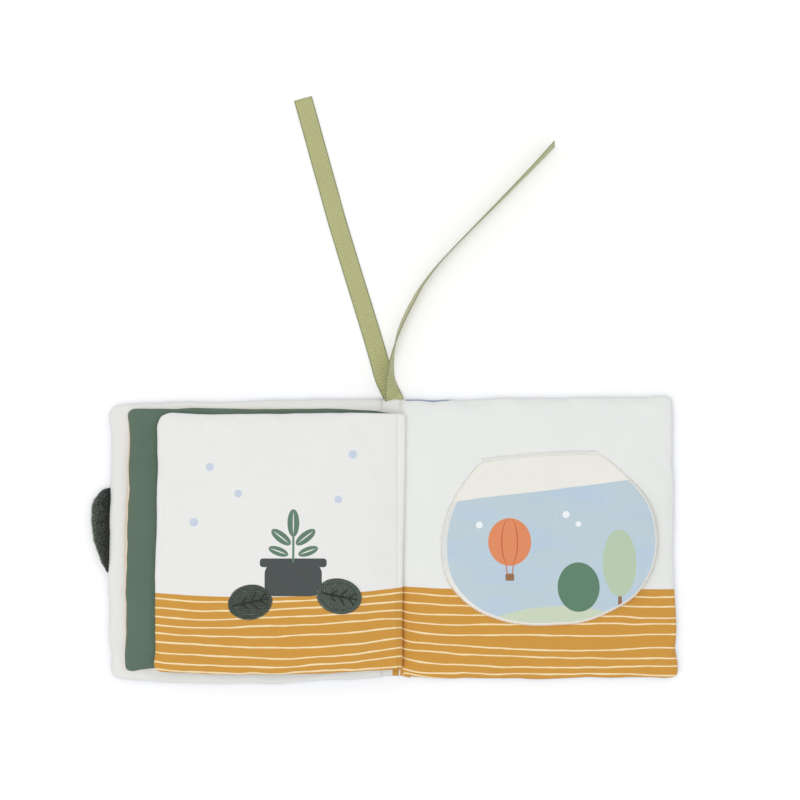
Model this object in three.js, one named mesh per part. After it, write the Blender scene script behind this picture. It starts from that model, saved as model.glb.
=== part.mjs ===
// A padded cloth book for a baby, lying open at its last spread. Both of its leaves are turned
// to the left onto the front cover, and the back cover lies to the right with a lift flap on it.
// Millimetres, +Z up, +Y towards the ribbon. The origin is the middle of the open covers, on the
// underside of the spine.
import * as THREE from "three";

// Covers
const openWidth = 300;
const coverHeight = 150;
const coverThickness = 7;
const coverCorner = 5;

// Leaves
const greenLeafReach = 141; // from the origin to the fore-edge
const greenLeafHeight = 138.4;
const topLeafReach = 125; // shorter, because the leaf rolls up out of the gutter
const topLeafHeight = 137.4;
const topLeafDrop = 1.2; // it lies this much nearer to the reader
const leafThickness = 5.7;
const leafCorner = 4.5;

// Cloth, filling and the room between layers
const clothThickness = 0.6;
const filmThickness = 0.3;
const seamGap = 0.3;
const layGap = 0.3;
const shoulderWidth = 12; // the rounded border between a seam and the flat middle
const drawIn = 1; // how far the filling pulls a side in between its corners
const shoulderPower = 2.4;
const shoulderFall = 0.8;
const shoulderShares = [0, 0.3, 0.6, 0.85, 1]; // rings of a cloth, from flat middle to seam
const fillingShare = 0.9; // where the wadding and the film end, as a share of the outline

// Spine
const turnAxisX = 2.5; // the line of stitches that the leaves and the front cover turn about
const flapRoom = 0.45; // height that the closed book keeps for the flap
const frontSpineRoom = 7.5; // from the turning axis to the front cover, which folds up here
const backSpineRoom = 3.5;
const spineThickness = 1.2;
const spineSeamHeight = 1.05; // middle of a cover's seam at the spine
const finThickness = 1.4;
const finClearance = 0.5;
const leafRootGap = 0.5;
const topRootDrop = 0.6; // the top leaf's seam lies this far under the turning axis

// Ribbon
const ribbonWidth = 10;
const ribbonThickness = 0.8;
const ribbonLayerGap = 0.2;
const ribbonX = 0.7;
const ribbonSeatLength = 14.4; // the part that is sewn in at the spine
const ribbonChamfer = 0.2;
const ribbonSteps = 28;

// Lift flap, a round bowl shape with a straight top edge that is its hinge. The radii run in even
// steps from the hinge's left end round the foot to its right end.
const flapCentreX = 82.6;
const hingeLeftAngle = 130.4;
const hingeRightAngle = 58.4;
const flapRadii = [
  54.4, 54.4, 55.9, 57.3, 57.9, 54.5, 49.8, 46.5, 45.2, 47.1, 49.9, 54.6, 57, 57.5, 56.7, 53.9, 53.6,
];
const flapClothThickness = 0.65;
const edgeThreadWidth = 1.6;
const edgeThreadBareShare = 0.01; // share of the curved edge without thread at each end
const flapArcSteps = 34;
const flapRingShares = [0.6, 1];
const hingeSeamWidth = 1.6;
const hingeSeamHeight = 0.8;
const hingeSeamOffset = 0.4;
const hingeSeamInset = 2;

// Plush patches on the top leaf
const patchLength = 24;
const patchWidth = 18.2;
const patchHeight = 1.5;
const patchEdge = 0.5;
const patchSteps = 20;
const patchRingShares = [0.45, 0.75, 0.92, 1];
const leftPatch = { x: -74.5, y: -32.8, turn: 11 };
const rightPatch = { x: -28.1, y: -29.6, turn: -11 };

// Plush tab in the front cover's fore-edge
const tabReach = 10.8;
const tabTop = 27.8;
const tabBottom = -17;
const tabRise = 2;
const tabClothThickness = 0.55;
const tabSeamGap = 0.45; // between the tab and the cover's fore-edge
const tabMiddle = { x: 4.4, y: 9 }; // inwards from the tab's own edge, and along the cover
const tabOutlineShares = [
  [0, 0],
  [0.04, 0.16],
  [0.16, 0.4],
  [0.34, 0.66],
  [0.54, 0.88],
  [0.74, 1],
  [0.87, 0.92],
  [0.95, 0.68],
  [0.99, 0.34],
  [1, 0],
];
const tabRingShares = [0.3, 0.62, 0.86, 1];
const tabFillingShare = 0.78;

const colours = {
  white: 0xe8e9e7,
  coverBlue: 0x9aa9c4,
  green: 0x5c7867,
  peach: 0xf0dccd,
  wadding: 0xf4f4f2,
  film: 0xd9dde0,
  ribbon: 0xb0b47a,
  plush: 0x3f4a42,
  patch: 0x46554b,
  flap: 0xbccfdb,
  thread: 0xe8e2dc,
};

// Heights of the stack, all from the layers under them
const stackHeight = 2 * coverThickness + 2 * leafThickness + 3 * layGap;
const turnAxisHeight = stackHeight / 2 + flapRoom;
const greenLeafMiddle = coverThickness + layGap + leafThickness / 2;
const topLeafMiddle = greenLeafMiddle + leafThickness + layGap;
const topLeafTop = topLeafMiddle + leafThickness / 2;
const coverInnerRise = (coverThickness - seamGap) / 2 - clothThickness;
const leafInnerRise = (leafThickness - seamGap) / 2 - clothThickness;
const leafRootX = turnAxisX - finThickness / 2 - leafRootGap;
const spineSeat = spineThickness + layGap;
const anchorHeight = 2 * ribbonThickness + ribbonLayerGap;

function radians(degrees) {
  return (degrees * Math.PI) / 180;
}

function meshOf(name, geometry, colour, roughness) {
  const material = new THREE.MeshStandardMaterial({ color: colour, roughness, metalness: 0 });
  const mesh = new THREE.Mesh(geometry, material);
  mesh.name = name;
  return mesh;
}

function geometryOf(points, triangles) {
  const geometry = new THREE.BufferGeometry().setFromPoints(points);
  geometry.setIndex(triangles.flat());
  geometry.computeVertexNormals();
  return geometry;
}

// 1 over the flat middle of a padded piece, falling to 0 at its seam. The step runs from 0, where
// the shoulder begins, to 1 at the seam.
function shoulder(step) {
  const t = THREE.MathUtils.clamp(step, 0, 1);
  return Math.pow(1 - Math.pow(t, shoulderPower), shoulderFall);
}

// A rounded rectangle whose sides bow inwards, anticlockwise.
function pillowOutline({ left, right, bottom, top, corner, bows }) {
  const sideSteps = 6;
  const cornerSteps = 3;
  const middles = [
    [right - corner, bottom + corner, -90],
    [right - corner, top - corner, 0],
    [left + corner, top - corner, 90],
    [left + corner, bottom + corner, 180],
  ];
  const starts = [
    [left + corner, bottom],
    [right, bottom + corner],
    [right - corner, top],
    [left, top - corner],
  ];
  const ends = [
    [right - corner, bottom],
    [right, top - corner],
    [left + corner, top],
    [left, bottom + corner],
  ];
  const inwards = [
    [0, 1],
    [-1, 0],
    [0, -1],
    [1, 0],
  ];
  const outline = [];
  for (let side = 0; side < 4; side++) {
    for (let i = 0; i <= sideSteps; i++) {
      const along = i / sideSteps;
      const bow = bows[side] * (1 - Math.pow(2 * along - 1, 2));
      const x = THREE.MathUtils.lerp(starts[side][0], ends[side][0], along);
      const y = THREE.MathUtils.lerp(starts[side][1], ends[side][1], along);
      outline.push(new THREE.Vector2(x + inwards[side][0] * bow, y + inwards[side][1] * bow));
    }
    const [middleX, middleY, startAngle] = middles[side];
    for (let i = 1; i < cornerSteps; i++) {
      const angle = radians(startAngle + (90 * i) / cornerSteps);
      const x = middleX + corner * Math.cos(angle);
      outline.push(new THREE.Vector2(x, middleY + corner * Math.sin(angle)));
    }
  }
  return outline;
}

// A closed body between two heights, over an outline. Each ring is the outline shrunk to a share
// about the centre.
function layeredBody({ outline, centre, ringShares, topAt, bottomAt }) {
  const count = outline.length;
  const points = [];
  const triangles = [];
  const addSide = (heightAt) => {
    const first = points.length;
    points.push(new THREE.Vector3(centre.x, centre.y, heightAt(centre, 0)));
    for (const share of ringShares) {
      for (const corner of outline) {
        const place = centre.clone().lerp(corner, share);
        points.push(new THREE.Vector3(place.x, place.y, heightAt(place, share)));
      }
    }
    return first;
  };
  const faceSide = (first, up) => {
    const add = (a, b, c) => triangles.push(up ? [a, b, c] : [a, c, b]);
    for (let i = 0; i < count; i++) {
      const next = (i + 1) % count;
      add(first, first + 1 + i, first + 1 + next);
      for (let ring = 1; ring < ringShares.length; ring++) {
        const inner = first + 1 + (ring - 1) * count;
        const outer = inner + count;
        add(inner + i, outer + i, outer + next);
        add(inner + i, outer + next, inner + next);
      }
    }
  };
  const topFirst = addSide(topAt);
  const bottomFirst = addSide(bottomAt);
  faceSide(topFirst, true);
  faceSide(bottomFirst, false);
  const rim = 1 + (ringShares.length - 1) * count;
  for (let i = 0; i < count; i++) {
    const next = (i + 1) % count;
    const a = bottomFirst + rim + i;
    const b = bottomFirst + rim + next;
    const c = topFirst + rim + next;
    const d = topFirst + rim + i;
    triangles.push([a, b, c], [a, c, d]);
  }
  return geometryOf(points, triangles);
}

// The four layers of a padded cover or leaf: two cloths that meet at the seam, the wadding
// between them, and the film that crackles.
function paddedLayers({ outline, centre, halfWidth, innerRise, middleAt, floor }) {
  const flatShare = 1 - shoulderWidth / halfWidth;
  const riseAt = (share) => innerRise * shoulder((share - flatShare) / (1 - flatShare));
  const lowerInside = (place, share) =>
    Math.max(middleAt(place) - seamGap / 2 - riseAt(share), floor + clothThickness);
  const upperInside = (place, share) => middleAt(place) + seamGap / 2 + riseAt(share);
  const filmTop = (place, share) => upperInside(place, share) - layGap;
  const waddingTop = (place, share) => filmTop(place, share) - filmThickness - layGap;
  const clothRings = shoulderShares.map((step) => flatShare + step * (1 - flatShare));
  const body = (ringShares, topAt, bottomAt) =>
    layeredBody({ outline, centre, ringShares, topAt, bottomAt });
  const fillingRings = [flatShare, fillingShare];
  return {
    upper: body(clothRings, (p, s) => upperInside(p, s) + clothThickness, upperInside),
    lower: body(clothRings, lowerInside, (p, s) => lowerInside(p, s) - clothThickness),
    wadding: body(fillingRings, waddingTop, (p, s) => lowerInside(p, s) + layGap),
    film: body(fillingRings, filmTop, (p, s) => filmTop(p, s) - filmThickness),
  };
}

function layerMeshes(prefix, names, tints, layers) {
  const group = new THREE.Group();
  group.add(meshOf(`${prefix}_${names.upper}`, layers.upper, tints.upper, 0.9));
  group.add(meshOf(`${prefix}_${names.lower}`, layers.lower, tints.lower, 0.9));
  group.add(meshOf(`${prefix}_wadding`, layers.wadding, colours.wadding, 1));
  group.add(meshOf(`${prefix}_crinkle_film`, layers.film, colours.film, 0.35));
  return group;
}

// A cover lies flat on the floor, and its seam at the spine comes down to the spine strip.
// The side is 1 for the back cover on the right and -1 for the front cover on the left.
function cover(prefix, side) {
  const foreEdge = (side * openWidth) / 2;
  const spineEdge = side > 0 ? turnAxisX + backSpineRoom : turnAxisX - frontSpineRoom;
  const left = Math.min(foreEdge, spineEdge);
  const right = Math.max(foreEdge, spineEdge);
  const bows = side > 0 ? [drawIn, drawIn, drawIn, 0] : [drawIn, 0, drawIn, drawIn];
  const layers = paddedLayers({
    outline: pillowOutline({
      left,
      right,
      bottom: -coverHeight / 2,
      top: coverHeight / 2,
      corner: coverCorner,
      bows,
    }),
    centre: new THREE.Vector2((left + right) / 2, 0),
    halfWidth: (right - left) / 2,
    innerRise: coverInnerRise,
    middleAt: (place) => {
      const fromSpine = Math.abs(place.x - spineEdge);
      const lift = shoulder(1 - fromSpine / shoulderWidth);
      return THREE.MathUtils.lerp(spineSeamHeight, coverThickness / 2, lift);
    },
    floor: 0,
  });
  const names = { upper: "page_panel", lower: "outer_panel" };
  return layerMeshes(prefix, names, { upper: colours.white, lower: colours.coverBlue }, layers);
}

// A leaf lies on the stack to the left. Its root comes to the height of its own seam at the spine.
function leaf({ prefix, reach, height, drop, middle, rootHeight, tints }) {
  const left = -reach;
  const right = leafRootX;
  const layers = paddedLayers({
    outline: pillowOutline({
      left,
      right,
      bottom: -height / 2 - drop,
      top: height / 2 - drop,
      corner: leafCorner,
      bows: [drawIn, 0, drawIn, drawIn],
    }),
    centre: new THREE.Vector2((left + right) / 2, -drop),
    halfWidth: (right - left) / 2,
    innerRise: leafInnerRise,
    middleAt: (place) => {
      const lift = shoulder(1 - (right - place.x) / shoulderWidth);
      return THREE.MathUtils.lerp(rootHeight, middle, lift);
    },
    floor: 0,
  });
  return layerMeshes(prefix, { upper: "upper_panel", lower: "lower_panel" }, tints, layers);
}

// The strip that joins the covers under the stack, and the sewn roots of the leaves on it.
function spineStrip() {
  const width = frontSpineRoom + backSpineRoom - 2 * layGap;
  const geometry = new THREE.BoxGeometry(width, coverHeight, spineThickness);
  const mesh = meshOf("spine_strip", geometry, colours.coverBlue, 0.9);
  mesh.position.set(turnAxisX + (backSpineRoom - frontSpineRoom) / 2, 0, spineThickness / 2);
  return mesh;
}

// Its outline is drawn along the spine, with a notch that the ribbon passes under.
function leafRootFin() {
  const top = turnAxisHeight - finClearance;
  const end = greenLeafHeight / 2;
  const notchStart = coverHeight / 2 - ribbonSeatLength - layGap;
  const notchTop = spineSeat + anchorHeight + layGap;
  const outline = new THREE.Shape([
    new THREE.Vector2(-end, spineSeat),
    new THREE.Vector2(notchStart, spineSeat),
    new THREE.Vector2(notchStart, notchTop),
    new THREE.Vector2(end, notchTop),
    new THREE.Vector2(end, top),
    new THREE.Vector2(-end, top),
  ]);
  const geometry = new THREE.ExtrudeGeometry(outline, { depth: finThickness, bevelEnabled: false });
  geometry.applyMatrix4(
    new THREE.Matrix4().makeBasis(
      new THREE.Vector3(0, 1, 0),
      new THREE.Vector3(0, 0, 1),
      new THREE.Vector3(1, 0, 0),
    ),
  );
  const mesh = meshOf("leaf_root_fin", geometry, colours.white, 0.9);
  mesh.position.x = turnAxisX - finThickness / 2;
  return mesh;
}

// The folded middle of the ribbon, sewn in at the head of the spine.
function ribbonAnchor() {
  const geometry = new THREE.BoxGeometry(ribbonWidth, ribbonSeatLength, anchorHeight);
  const mesh = meshOf("ribbon_anchor", geometry, colours.ribbon, 0.7);
  mesh.position.set(
    ribbonX,
    (coverHeight - ribbonSeatLength) / 2,
    spineSeat + anchorHeight / 2,
  );
  return mesh;
}

// A flat band swept along a route. Each place on the route is x, y, z and the roll of the band in
// degrees: 0 lies flat, and 90 stands on its edge.
function sweptBand(route, steps) {
  const curve = new THREE.CatmullRomCurve3(route.map(([x, y, z]) => new THREE.Vector3(x, y, z)));
  const rolls = new THREE.CatmullRomCurve3(route.map((place) => new THREE.Vector3(place[3], 0, 0)));
  const halfWidth = ribbonWidth / 2;
  const halfThickness = ribbonThickness / 2;
  const section = [
    [halfWidth - ribbonChamfer, -halfThickness],
    [halfWidth, ribbonChamfer - halfThickness],
    [halfWidth, halfThickness - ribbonChamfer],
    [halfWidth - ribbonChamfer, halfThickness],
    [ribbonChamfer - halfWidth, halfThickness],
    [-halfWidth, halfThickness - ribbonChamfer],
    [-halfWidth, ribbonChamfer - halfThickness],
    [ribbonChamfer - halfWidth, -halfThickness],
  ];
  const up = new THREE.Vector3(0, 0, 1);
  const points = [];
  const triangles = [];
  for (let i = 0; i <= steps; i++) {
    const middle = curve.getPoint(i / steps);
    const along = curve.getTangent(i / steps);
    const roll = radians(rolls.getPoint(i / steps).x);
    const sideways = up.clone().cross(along).normalize();
    const lifted = along.clone().cross(sideways);
    const across = sideways
      .clone()
      .multiplyScalar(Math.cos(roll))
      .addScaledVector(lifted, Math.sin(roll));
    const outwards = along.clone().cross(across);
    for (const [a, b] of section) {
      points.push(middle.clone().addScaledVector(across, a).addScaledVector(outwards, b));
    }
  }
  const count = section.length;
  for (let i = 0; i < steps; i++) {
    for (let j = 0; j < count; j++) {
      const next = (j + 1) % count;
      const a = i * count + j;
      const b = i * count + next;
      triangles.push([a, b + count, a + count], [a, b, b + count]);
    }
  }
  const last = steps * count;
  for (let j = 1; j < count - 1; j++) {
    triangles.push([0, j + 1, j], [last, last + j, last + j + 1]);
  }
  return geometryOf(points, triangles);
}

// The tail that lies flat, and the one that rolls onto its edge and leans both ways.
const leftTailRoute = [
  [0.7, 75.5, 1.9, 0],
  [0.6, 77.8, 1.4, 0],
  [-0.7, 81.6, 0.7, 0],
  [-3.1, 87, 0.52, 0],
  [-6.9, 97, 0.5, 0],
  [-9.8, 106, 0.5, 0],
  [-12.8, 115.5, 0.5, 0],
  [-16, 126, 0.5, 0],
  [-19.1, 136, 0.5, 0],
  [-22, 145.4, 0.5, 0],
  [-24.9, 155, 0.5, 0],
  [-27.8, 164.6, 0.5, 0],
  [-30.6, 174, 0.5, 0],
  [-34.7, 188.8, 0.5, 0],
  [-39.3, 205.4, 0.5, 0],
  [-44.1, 222.8, 0.5, 0],
  [-49, 240.4, 0.5, 0],
];
const rightTailRoute = [
  [0.7, 75.5, 2.9, 0],
  [0.7, 77.6, 3.05, 3],
  [0.5, 80.2, 3.4, 14],
  [-0.3, 84.5, 4.2, 38],
  [-0.9, 90, 4.85, 62],
  [-0.6, 96, 5.1, 78],
  [0.5, 102, 5.15, 90],
  [3.1, 111.4, 5.15, 101],
  [6.6, 121.4, 5.1, 107],
  [10.5, 129.4, 5.1, 106],
  [15, 136, 5.1, 103],
  [22.6, 146, 5.15, 97],
  [31.3, 156, 5.15, 91],
  [45, 171, 5.15, 87],
  [57.2, 183.2, 5.15, 82],
  [68.9, 195, 5.1, 78],
  [78.3, 204.9, 5.1, 75],
  [87.3, 214.7, 5.1, 73],
];

function ribbonTail(name, route) {
  return meshOf(name, sweptBand(route, ribbonSteps), colours.ribbon, 0.7);
}

const hingeSweep = 360 + hingeRightAngle - hingeLeftAngle;
const flapRadiusCurve = new THREE.SplineCurve(
  flapRadii.map((radius, i) => new THREE.Vector2(i, radius)),
);

// A place on the flap's curved edge, or on a line inside it, counted from the hinge's left end.
function flapEdge(share, inset) {
  const angle = radians(hingeLeftAngle + hingeSweep * share);
  const radius = flapRadiusCurve.getPoint(share).y - inset;
  return new THREE.Vector2(flapCentreX + radius * Math.cos(angle), radius * Math.sin(angle));
}

const hingeStart = flapEdge(0, 0);
const hingeEnd = flapEdge(1, 0);
const hingeLine = hingeEnd.clone().sub(hingeStart);
const flapFloor = coverThickness + layGap;
const flapThickness = 2 * flapClothThickness + seamGap;

// The outline of the flap's cloths, inside the thread that binds the curved edge. Its first and
// last points lie on the hinge.
function flapOutline(inset) {
  const slip = inset / Math.sin(radians((hingeLeftAngle - hingeRightAngle) / 2));
  const alongHinge = hingeLine.clone().setLength(slip);
  const outline = [hingeStart.clone().add(alongHinge)];
  for (let i = 1; i < flapArcSteps; i++) {
    outline.push(flapEdge(i / flapArcSteps, inset));
  }
  outline.push(hingeEnd.clone().sub(alongHinge));
  return outline;
}

function flapCloth(name, bottom, colour) {
  const geometry = layeredBody({
    outline: flapOutline(edgeThreadWidth + seamGap),
    centre: new THREE.Vector2(flapCentreX, 0),
    ringShares: flapRingShares,
    topAt: () => bottom + flapClothThickness,
    bottomAt: () => bottom,
  });
  return meshOf(name, geometry, colour, 0.9);
}

// The thread that is wound over the curved edge, as one rounded band around it.
function flapEdgeThread() {
  const middle = flapFloor + flapThickness / 2;
  const sectionSides = 6;
  const points = [];
  const triangles = [];
  for (let i = 0; i <= flapArcSteps; i++) {
    const share = edgeThreadBareShare + ((1 - 2 * edgeThreadBareShare) * i) / flapArcSteps;
    for (let j = 0; j < sectionSides; j++) {
      const turn = radians((360 * (j + 0.5)) / sectionSides);
      const inset = (edgeThreadWidth / 2) * (1 - Math.cos(turn));
      const edge = flapEdge(share, inset);
      points.push(new THREE.Vector3(edge.x, edge.y, middle + (flapThickness / 2) * Math.sin(turn)));
    }
  }
  for (let i = 0; i < flapArcSteps; i++) {
    for (let j = 0; j < sectionSides; j++) {
      const next = (j + 1) % sectionSides;
      const a = i * sectionSides + j;
      const b = i * sectionSides + next;
      triangles.push([a, a + sectionSides, b + sectionSides], [a, b + sectionSides, b]);
    }
  }
  const last = flapArcSteps * sectionSides;
  for (let j = 1; j < sectionSides - 1; j++) {
    triangles.push([0, j, j + 1], [last, last + j + 1, last + j]);
  }
  return meshOf("flap_edge_thread", geometryOf(points, triangles), colours.thread, 0.8);
}

// The row of stitches and raw cloth behind the hinge, which holds the flap on the page.
function flapHingeSeam() {
  const length = hingeLine.length() - 2 * hingeSeamInset;
  const geometry = new THREE.BoxGeometry(length, hingeSeamWidth, hingeSeamHeight);
  const mesh = meshOf("flap_hinge_seam", geometry, colours.thread, 0.9);
  const middle = hingeStart.clone().lerp(hingeEnd, 0.5);
  const behind = new THREE.Vector2(-hingeLine.y, hingeLine.x);
  behind.setLength(hingeSeamOffset + hingeSeamWidth / 2);
  mesh.position.set(middle.x + behind.x, middle.y + behind.y, flapFloor + hingeSeamHeight / 2);
  mesh.rotation.z = hingeLine.angle();
  return mesh;
}

// A padded oval patch on the top leaf.
function plushPatch(name, { x, y, turn }) {
  const outline = [];
  for (let i = 0; i < patchSteps; i++) {
    const angle = (2 * Math.PI * i) / patchSteps;
    const along = (patchLength / 2) * Math.cos(angle);
    outline.push(new THREE.Vector2(along, (patchWidth / 2) * Math.sin(angle)));
  }
  const geometry = layeredBody({
    outline,
    centre: new THREE.Vector2(0, 0),
    ringShares: patchRingShares,
    topAt: (place, share) => patchEdge + (patchHeight - patchEdge) * Math.sqrt(1 - share * share),
    bottomAt: () => 0,
  });
  const mesh = meshOf(name, geometry, colours.patch, 1);
  mesh.position.set(x, y, topLeafTop + layGap);
  mesh.rotation.z = radians(turn);
  return mesh;
}

// The tab's outline: round at the head and tapering towards the foot, straight at the cover.
function tabOutline() {
  const edge = -openWidth / 2 + drawIn - tabSeamGap;
  const outer = tabOutlineShares.map(([along, out]) => {
    const y = THREE.MathUtils.lerp(tabTop, tabBottom, 1 - along);
    return new THREE.Vector2(edge - out * tabReach, y);
  });
  return outer.reverse();
}

function tabLayer(name, edgeShare, topAt, bottomAt, colour) {
  const outline = tabOutline();
  const edge = outline[0].x;
  const centre = new THREE.Vector2(edge - tabMiddle.x, tabMiddle.y);
  const ringShares = tabRingShares.map((share) => share * edgeShare);
  return meshOf(name, layeredBody({ outline, centre, ringShares, topAt, bottomAt }), colour, 1);
}

function plushTab() {
  const middle = coverThickness / 2;
  const riseAt = (share) => tabRise * Math.sqrt(1 - share * share);
  const above = (place, share) => middle + seamGap / 2 + riseAt(share);
  const below = (place, share) => middle - seamGap / 2 - riseAt(share);
  const group = new THREE.Group();
  group.add(
    tabLayer("tab_upper_skin", 1, (p, s) => above(p, s) + tabClothThickness, above, colours.plush),
    tabLayer("tab_lower_skin", 1, below, (p, s) => below(p, s) - tabClothThickness, colours.plush),
    tabLayer(
      "tab_stuffing",
      tabFillingShare,
      (p, s) => above(p, s) - layGap,
      (p, s) => below(p, s) + layGap,
      colours.wadding,
    ),
  );
  return group;
}

function liftFlap() {
  const group = new THREE.Group();
  group.add(
    flapCloth("flap_backing", flapFloor, colours.white),
    flapCloth("flap_face", flapFloor + flapClothThickness + seamGap, colours.flap),
    flapEdgeThread(),
  );
  return group;
}

const clothBook = new THREE.Group();
clothBook.add(
  cover("back_cover", 1),
  cover("front_cover", -1),
  leaf({
    prefix: "green_leaf",
    reach: greenLeafReach,
    height: greenLeafHeight,
    drop: 0,
    middle: greenLeafMiddle,
    rootHeight: greenLeafMiddle,
    tints: { upper: colours.green, lower: colours.peach },
  }),
  leaf({
    prefix: "top_leaf",
    reach: topLeafReach,
    height: topLeafHeight,
    drop: topLeafDrop,
    middle: topLeafMiddle,
    rootHeight: turnAxisHeight - topRootDrop,
    tints: { upper: colours.white, lower: colours.green },
  }),
  spineStrip(),
  leafRootFin(),
  ribbonAnchor(),
  ribbonTail("ribbon_left_tail", leftTailRoute),
  ribbonTail("ribbon_right_tail", rightTailRoute),
  liftFlap(),
  flapHingeSeam(),
  plushPatch("left_plush_patch", leftPatch),
  plushPatch("right_plush_patch", rightPatch),
  plushTab(),
);

export default clothBook;
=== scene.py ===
import math
import random

import bpy
import numpy as np
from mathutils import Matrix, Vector, noise


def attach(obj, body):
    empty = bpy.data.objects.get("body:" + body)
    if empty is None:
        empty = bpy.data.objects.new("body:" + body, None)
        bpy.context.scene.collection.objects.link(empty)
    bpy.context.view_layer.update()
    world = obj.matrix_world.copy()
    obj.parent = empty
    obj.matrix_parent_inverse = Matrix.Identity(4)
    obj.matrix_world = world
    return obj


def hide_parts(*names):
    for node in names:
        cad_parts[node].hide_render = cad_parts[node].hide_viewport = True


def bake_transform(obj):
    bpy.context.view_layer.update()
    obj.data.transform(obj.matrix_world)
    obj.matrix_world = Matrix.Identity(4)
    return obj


# A padded cloth book, open at its last spread. Lengths below are millimetres in the shared frame,
# and meshes are written in metres.
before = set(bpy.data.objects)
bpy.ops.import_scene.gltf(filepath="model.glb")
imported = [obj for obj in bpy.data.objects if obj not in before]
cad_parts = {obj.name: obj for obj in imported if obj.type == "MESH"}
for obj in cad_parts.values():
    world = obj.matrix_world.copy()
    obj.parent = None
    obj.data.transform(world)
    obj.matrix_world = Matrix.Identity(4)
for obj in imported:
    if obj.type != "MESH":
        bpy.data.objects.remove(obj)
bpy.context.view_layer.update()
scene = bpy.context.scene
scene.view_settings.view_transform = "Standard"
mm = 0.001
print("frame loaded")


# ---- camera, light and floor
view = {"aim": (3.95, 75.3), "tilt": 5.5, "distance": 1050, "lens": 87.9, "sensor": 36, "clipEnd": 20}


def addCamera():
    data = bpy.data.cameras.new("camera")
    data.lens = view["lens"]
    data.sensor_width = view["sensor"]
    data.clip_end = view["clipEnd"]
    camera = bpy.data.objects.new("camera", data)
    tilt = math.radians(view["tilt"])
    away = view["distance"] * mm
    x, y = (v * mm for v in view["aim"])
    camera.location = (x, y - away * math.sin(tilt), away * math.cos(tilt))
    camera.rotation_euler = (tilt, 0, 0)
    scene.collection.objects.link(camera)
    scene.camera = camera


addCamera()


def linear(colour):
    # written as 0 to 255, as read off a picture
    def one(value):
        value /= 255
        return value / 12.92 if value <= 0.04045 else ((value + 0.055) / 1.055) ** 2.4

    return (*(one(v) for v in colour), 1.0)


# ---- shader helpers
def feed(tree, socket, value):
    if isinstance(value, bpy.types.NodeSocket):
        tree.links.new(value, socket)
    else:
        socket.default_value = value


def calc(tree, operation, *values, clamp=False):
    node = tree.nodes.new("ShaderNodeMath")
    node.operation = operation
    node.use_clamp = clamp
    for socket, value in zip(node.inputs, values):
        feed(tree, socket, value)
    return node.outputs[0]


def product(tree, *values):
    total = values[0]
    for value in values[1:]:
        total = calc(tree, "MULTIPLY", total, value)
    return total


def scaled(tree, value, amount, base):
    # a value times an amount, on top of a base
    return calc(tree, "ADD", base, calc(tree, "MULTIPLY", value, amount))


def ramp(tree, value, low, high):
    # from 0 at low to 1 at high
    return calc(tree, "DIVIDE", calc(tree, "SUBTRACT", value, low), high - low, clamp=True)


def softEdge(tree, value, width):
    # 1 above zero and 0 below it, eased over a width
    return calc(tree, "ADD", calc(tree, "DIVIDE", value, width), 0.5, clamp=True)


def lengthOf(tree, a, b):
    return calc(tree, "SQRT", calc(tree, "ADD", product(tree, a, a), product(tree, b, b)))


def blendColour(tree, factor, first, second):
    node = tree.nodes.new("ShaderNodeMix")
    node.data_type = "RGBA"
    feed(tree, node.inputs["Factor"], factor)
    feed(tree, node.inputs[6], first)
    feed(tree, node.inputs[7], second)
    return node.outputs[2]


def separate(tree, vector):
    node = tree.nodes.new("ShaderNodeSeparateXYZ")
    feed(tree, node.inputs[0], vector)
    return node.outputs[0], node.outputs[1], node.outputs[2]


def combine(tree, x, y, z):
    node = tree.nodes.new("ShaderNodeCombineXYZ")
    for socket, value in zip(node.inputs, (x, y, z)):
        feed(tree, socket, value)
    return node.outputs[0]


def noiseAt(tree, vector, scale, detail=2.0):
    node = tree.nodes.new("ShaderNodeTexNoise")
    feed(tree, node.inputs["Vector"], vector)
    node.inputs["Scale"].default_value = scale
    node.inputs["Detail"].default_value = detail
    return node.outputs["Fac"]


def stretched(tree, vector, scales):
    node = tree.nodes.new("ShaderNodeVectorMath")
    node.operation = "MULTIPLY"
    feed(tree, node.inputs[0], vector)
    node.inputs[1].default_value = scales
    return node.outputs[0]


def divided(tree, vector, size):
    node = tree.nodes.new("ShaderNodeVectorMath")
    node.operation = "DIVIDE"
    feed(tree, node.inputs[0], vector)
    feed(tree, node.inputs[1], combine(tree, size, size, size))
    return node.outputs[0]


def readPlace(tree):
    # where the cloth lay when it was cut, in millimetres, so that a print moves with its cloth
    node = tree.nodes.new("ShaderNodeAttribute")
    node.attribute_name = "place"
    return node.outputs["Vector"]


def readInset(tree):
    node = tree.nodes.new("ShaderNodeAttribute")
    node.attribute_name = "inset"
    return node.outputs["Fac"]


def newGroup(name, inputs, outputs):
    group = bpy.data.node_groups.new(name, "ShaderNodeTree")
    kinds = {"vector": "NodeSocketVector", "value": "NodeSocketFloat", "colour": "NodeSocketColor"}
    for label, kind, default in inputs:
        socket = group.interface.new_socket(label, in_out="INPUT", socket_type=kinds[kind])
        if default is not None:
            socket.default_value = default
    for label, kind in outputs:
        group.interface.new_socket(label, in_out="OUTPUT", socket_type=kinds[kind])
    return group, group.nodes.new("NodeGroupInput").outputs, group.nodes.new("NodeGroupOutput").inputs


def useGroup(tree, group, **values):
    node = tree.nodes.new("ShaderNodeGroup")
    node.node_tree = group
    for label, value in values.items():
        feed(tree, node.inputs[label], value)
    return node.outputs


clothLook = {
    "pitch": 0.42, "slub": 0.2, "bump": 0.05, "mottle": 0.02, "cloud": 34.0,
    "roughness": 0.84, "sheen": 0.08, "gloss": 0.25,
    # how the thick places of the threads are drawn out, and how much lighter they are
    "slubsAcross": (0.05, 1.6, 0.3), "slubsDown": (1.6, 0.05, 0.3), "slubShade": 0.12,
}


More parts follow.
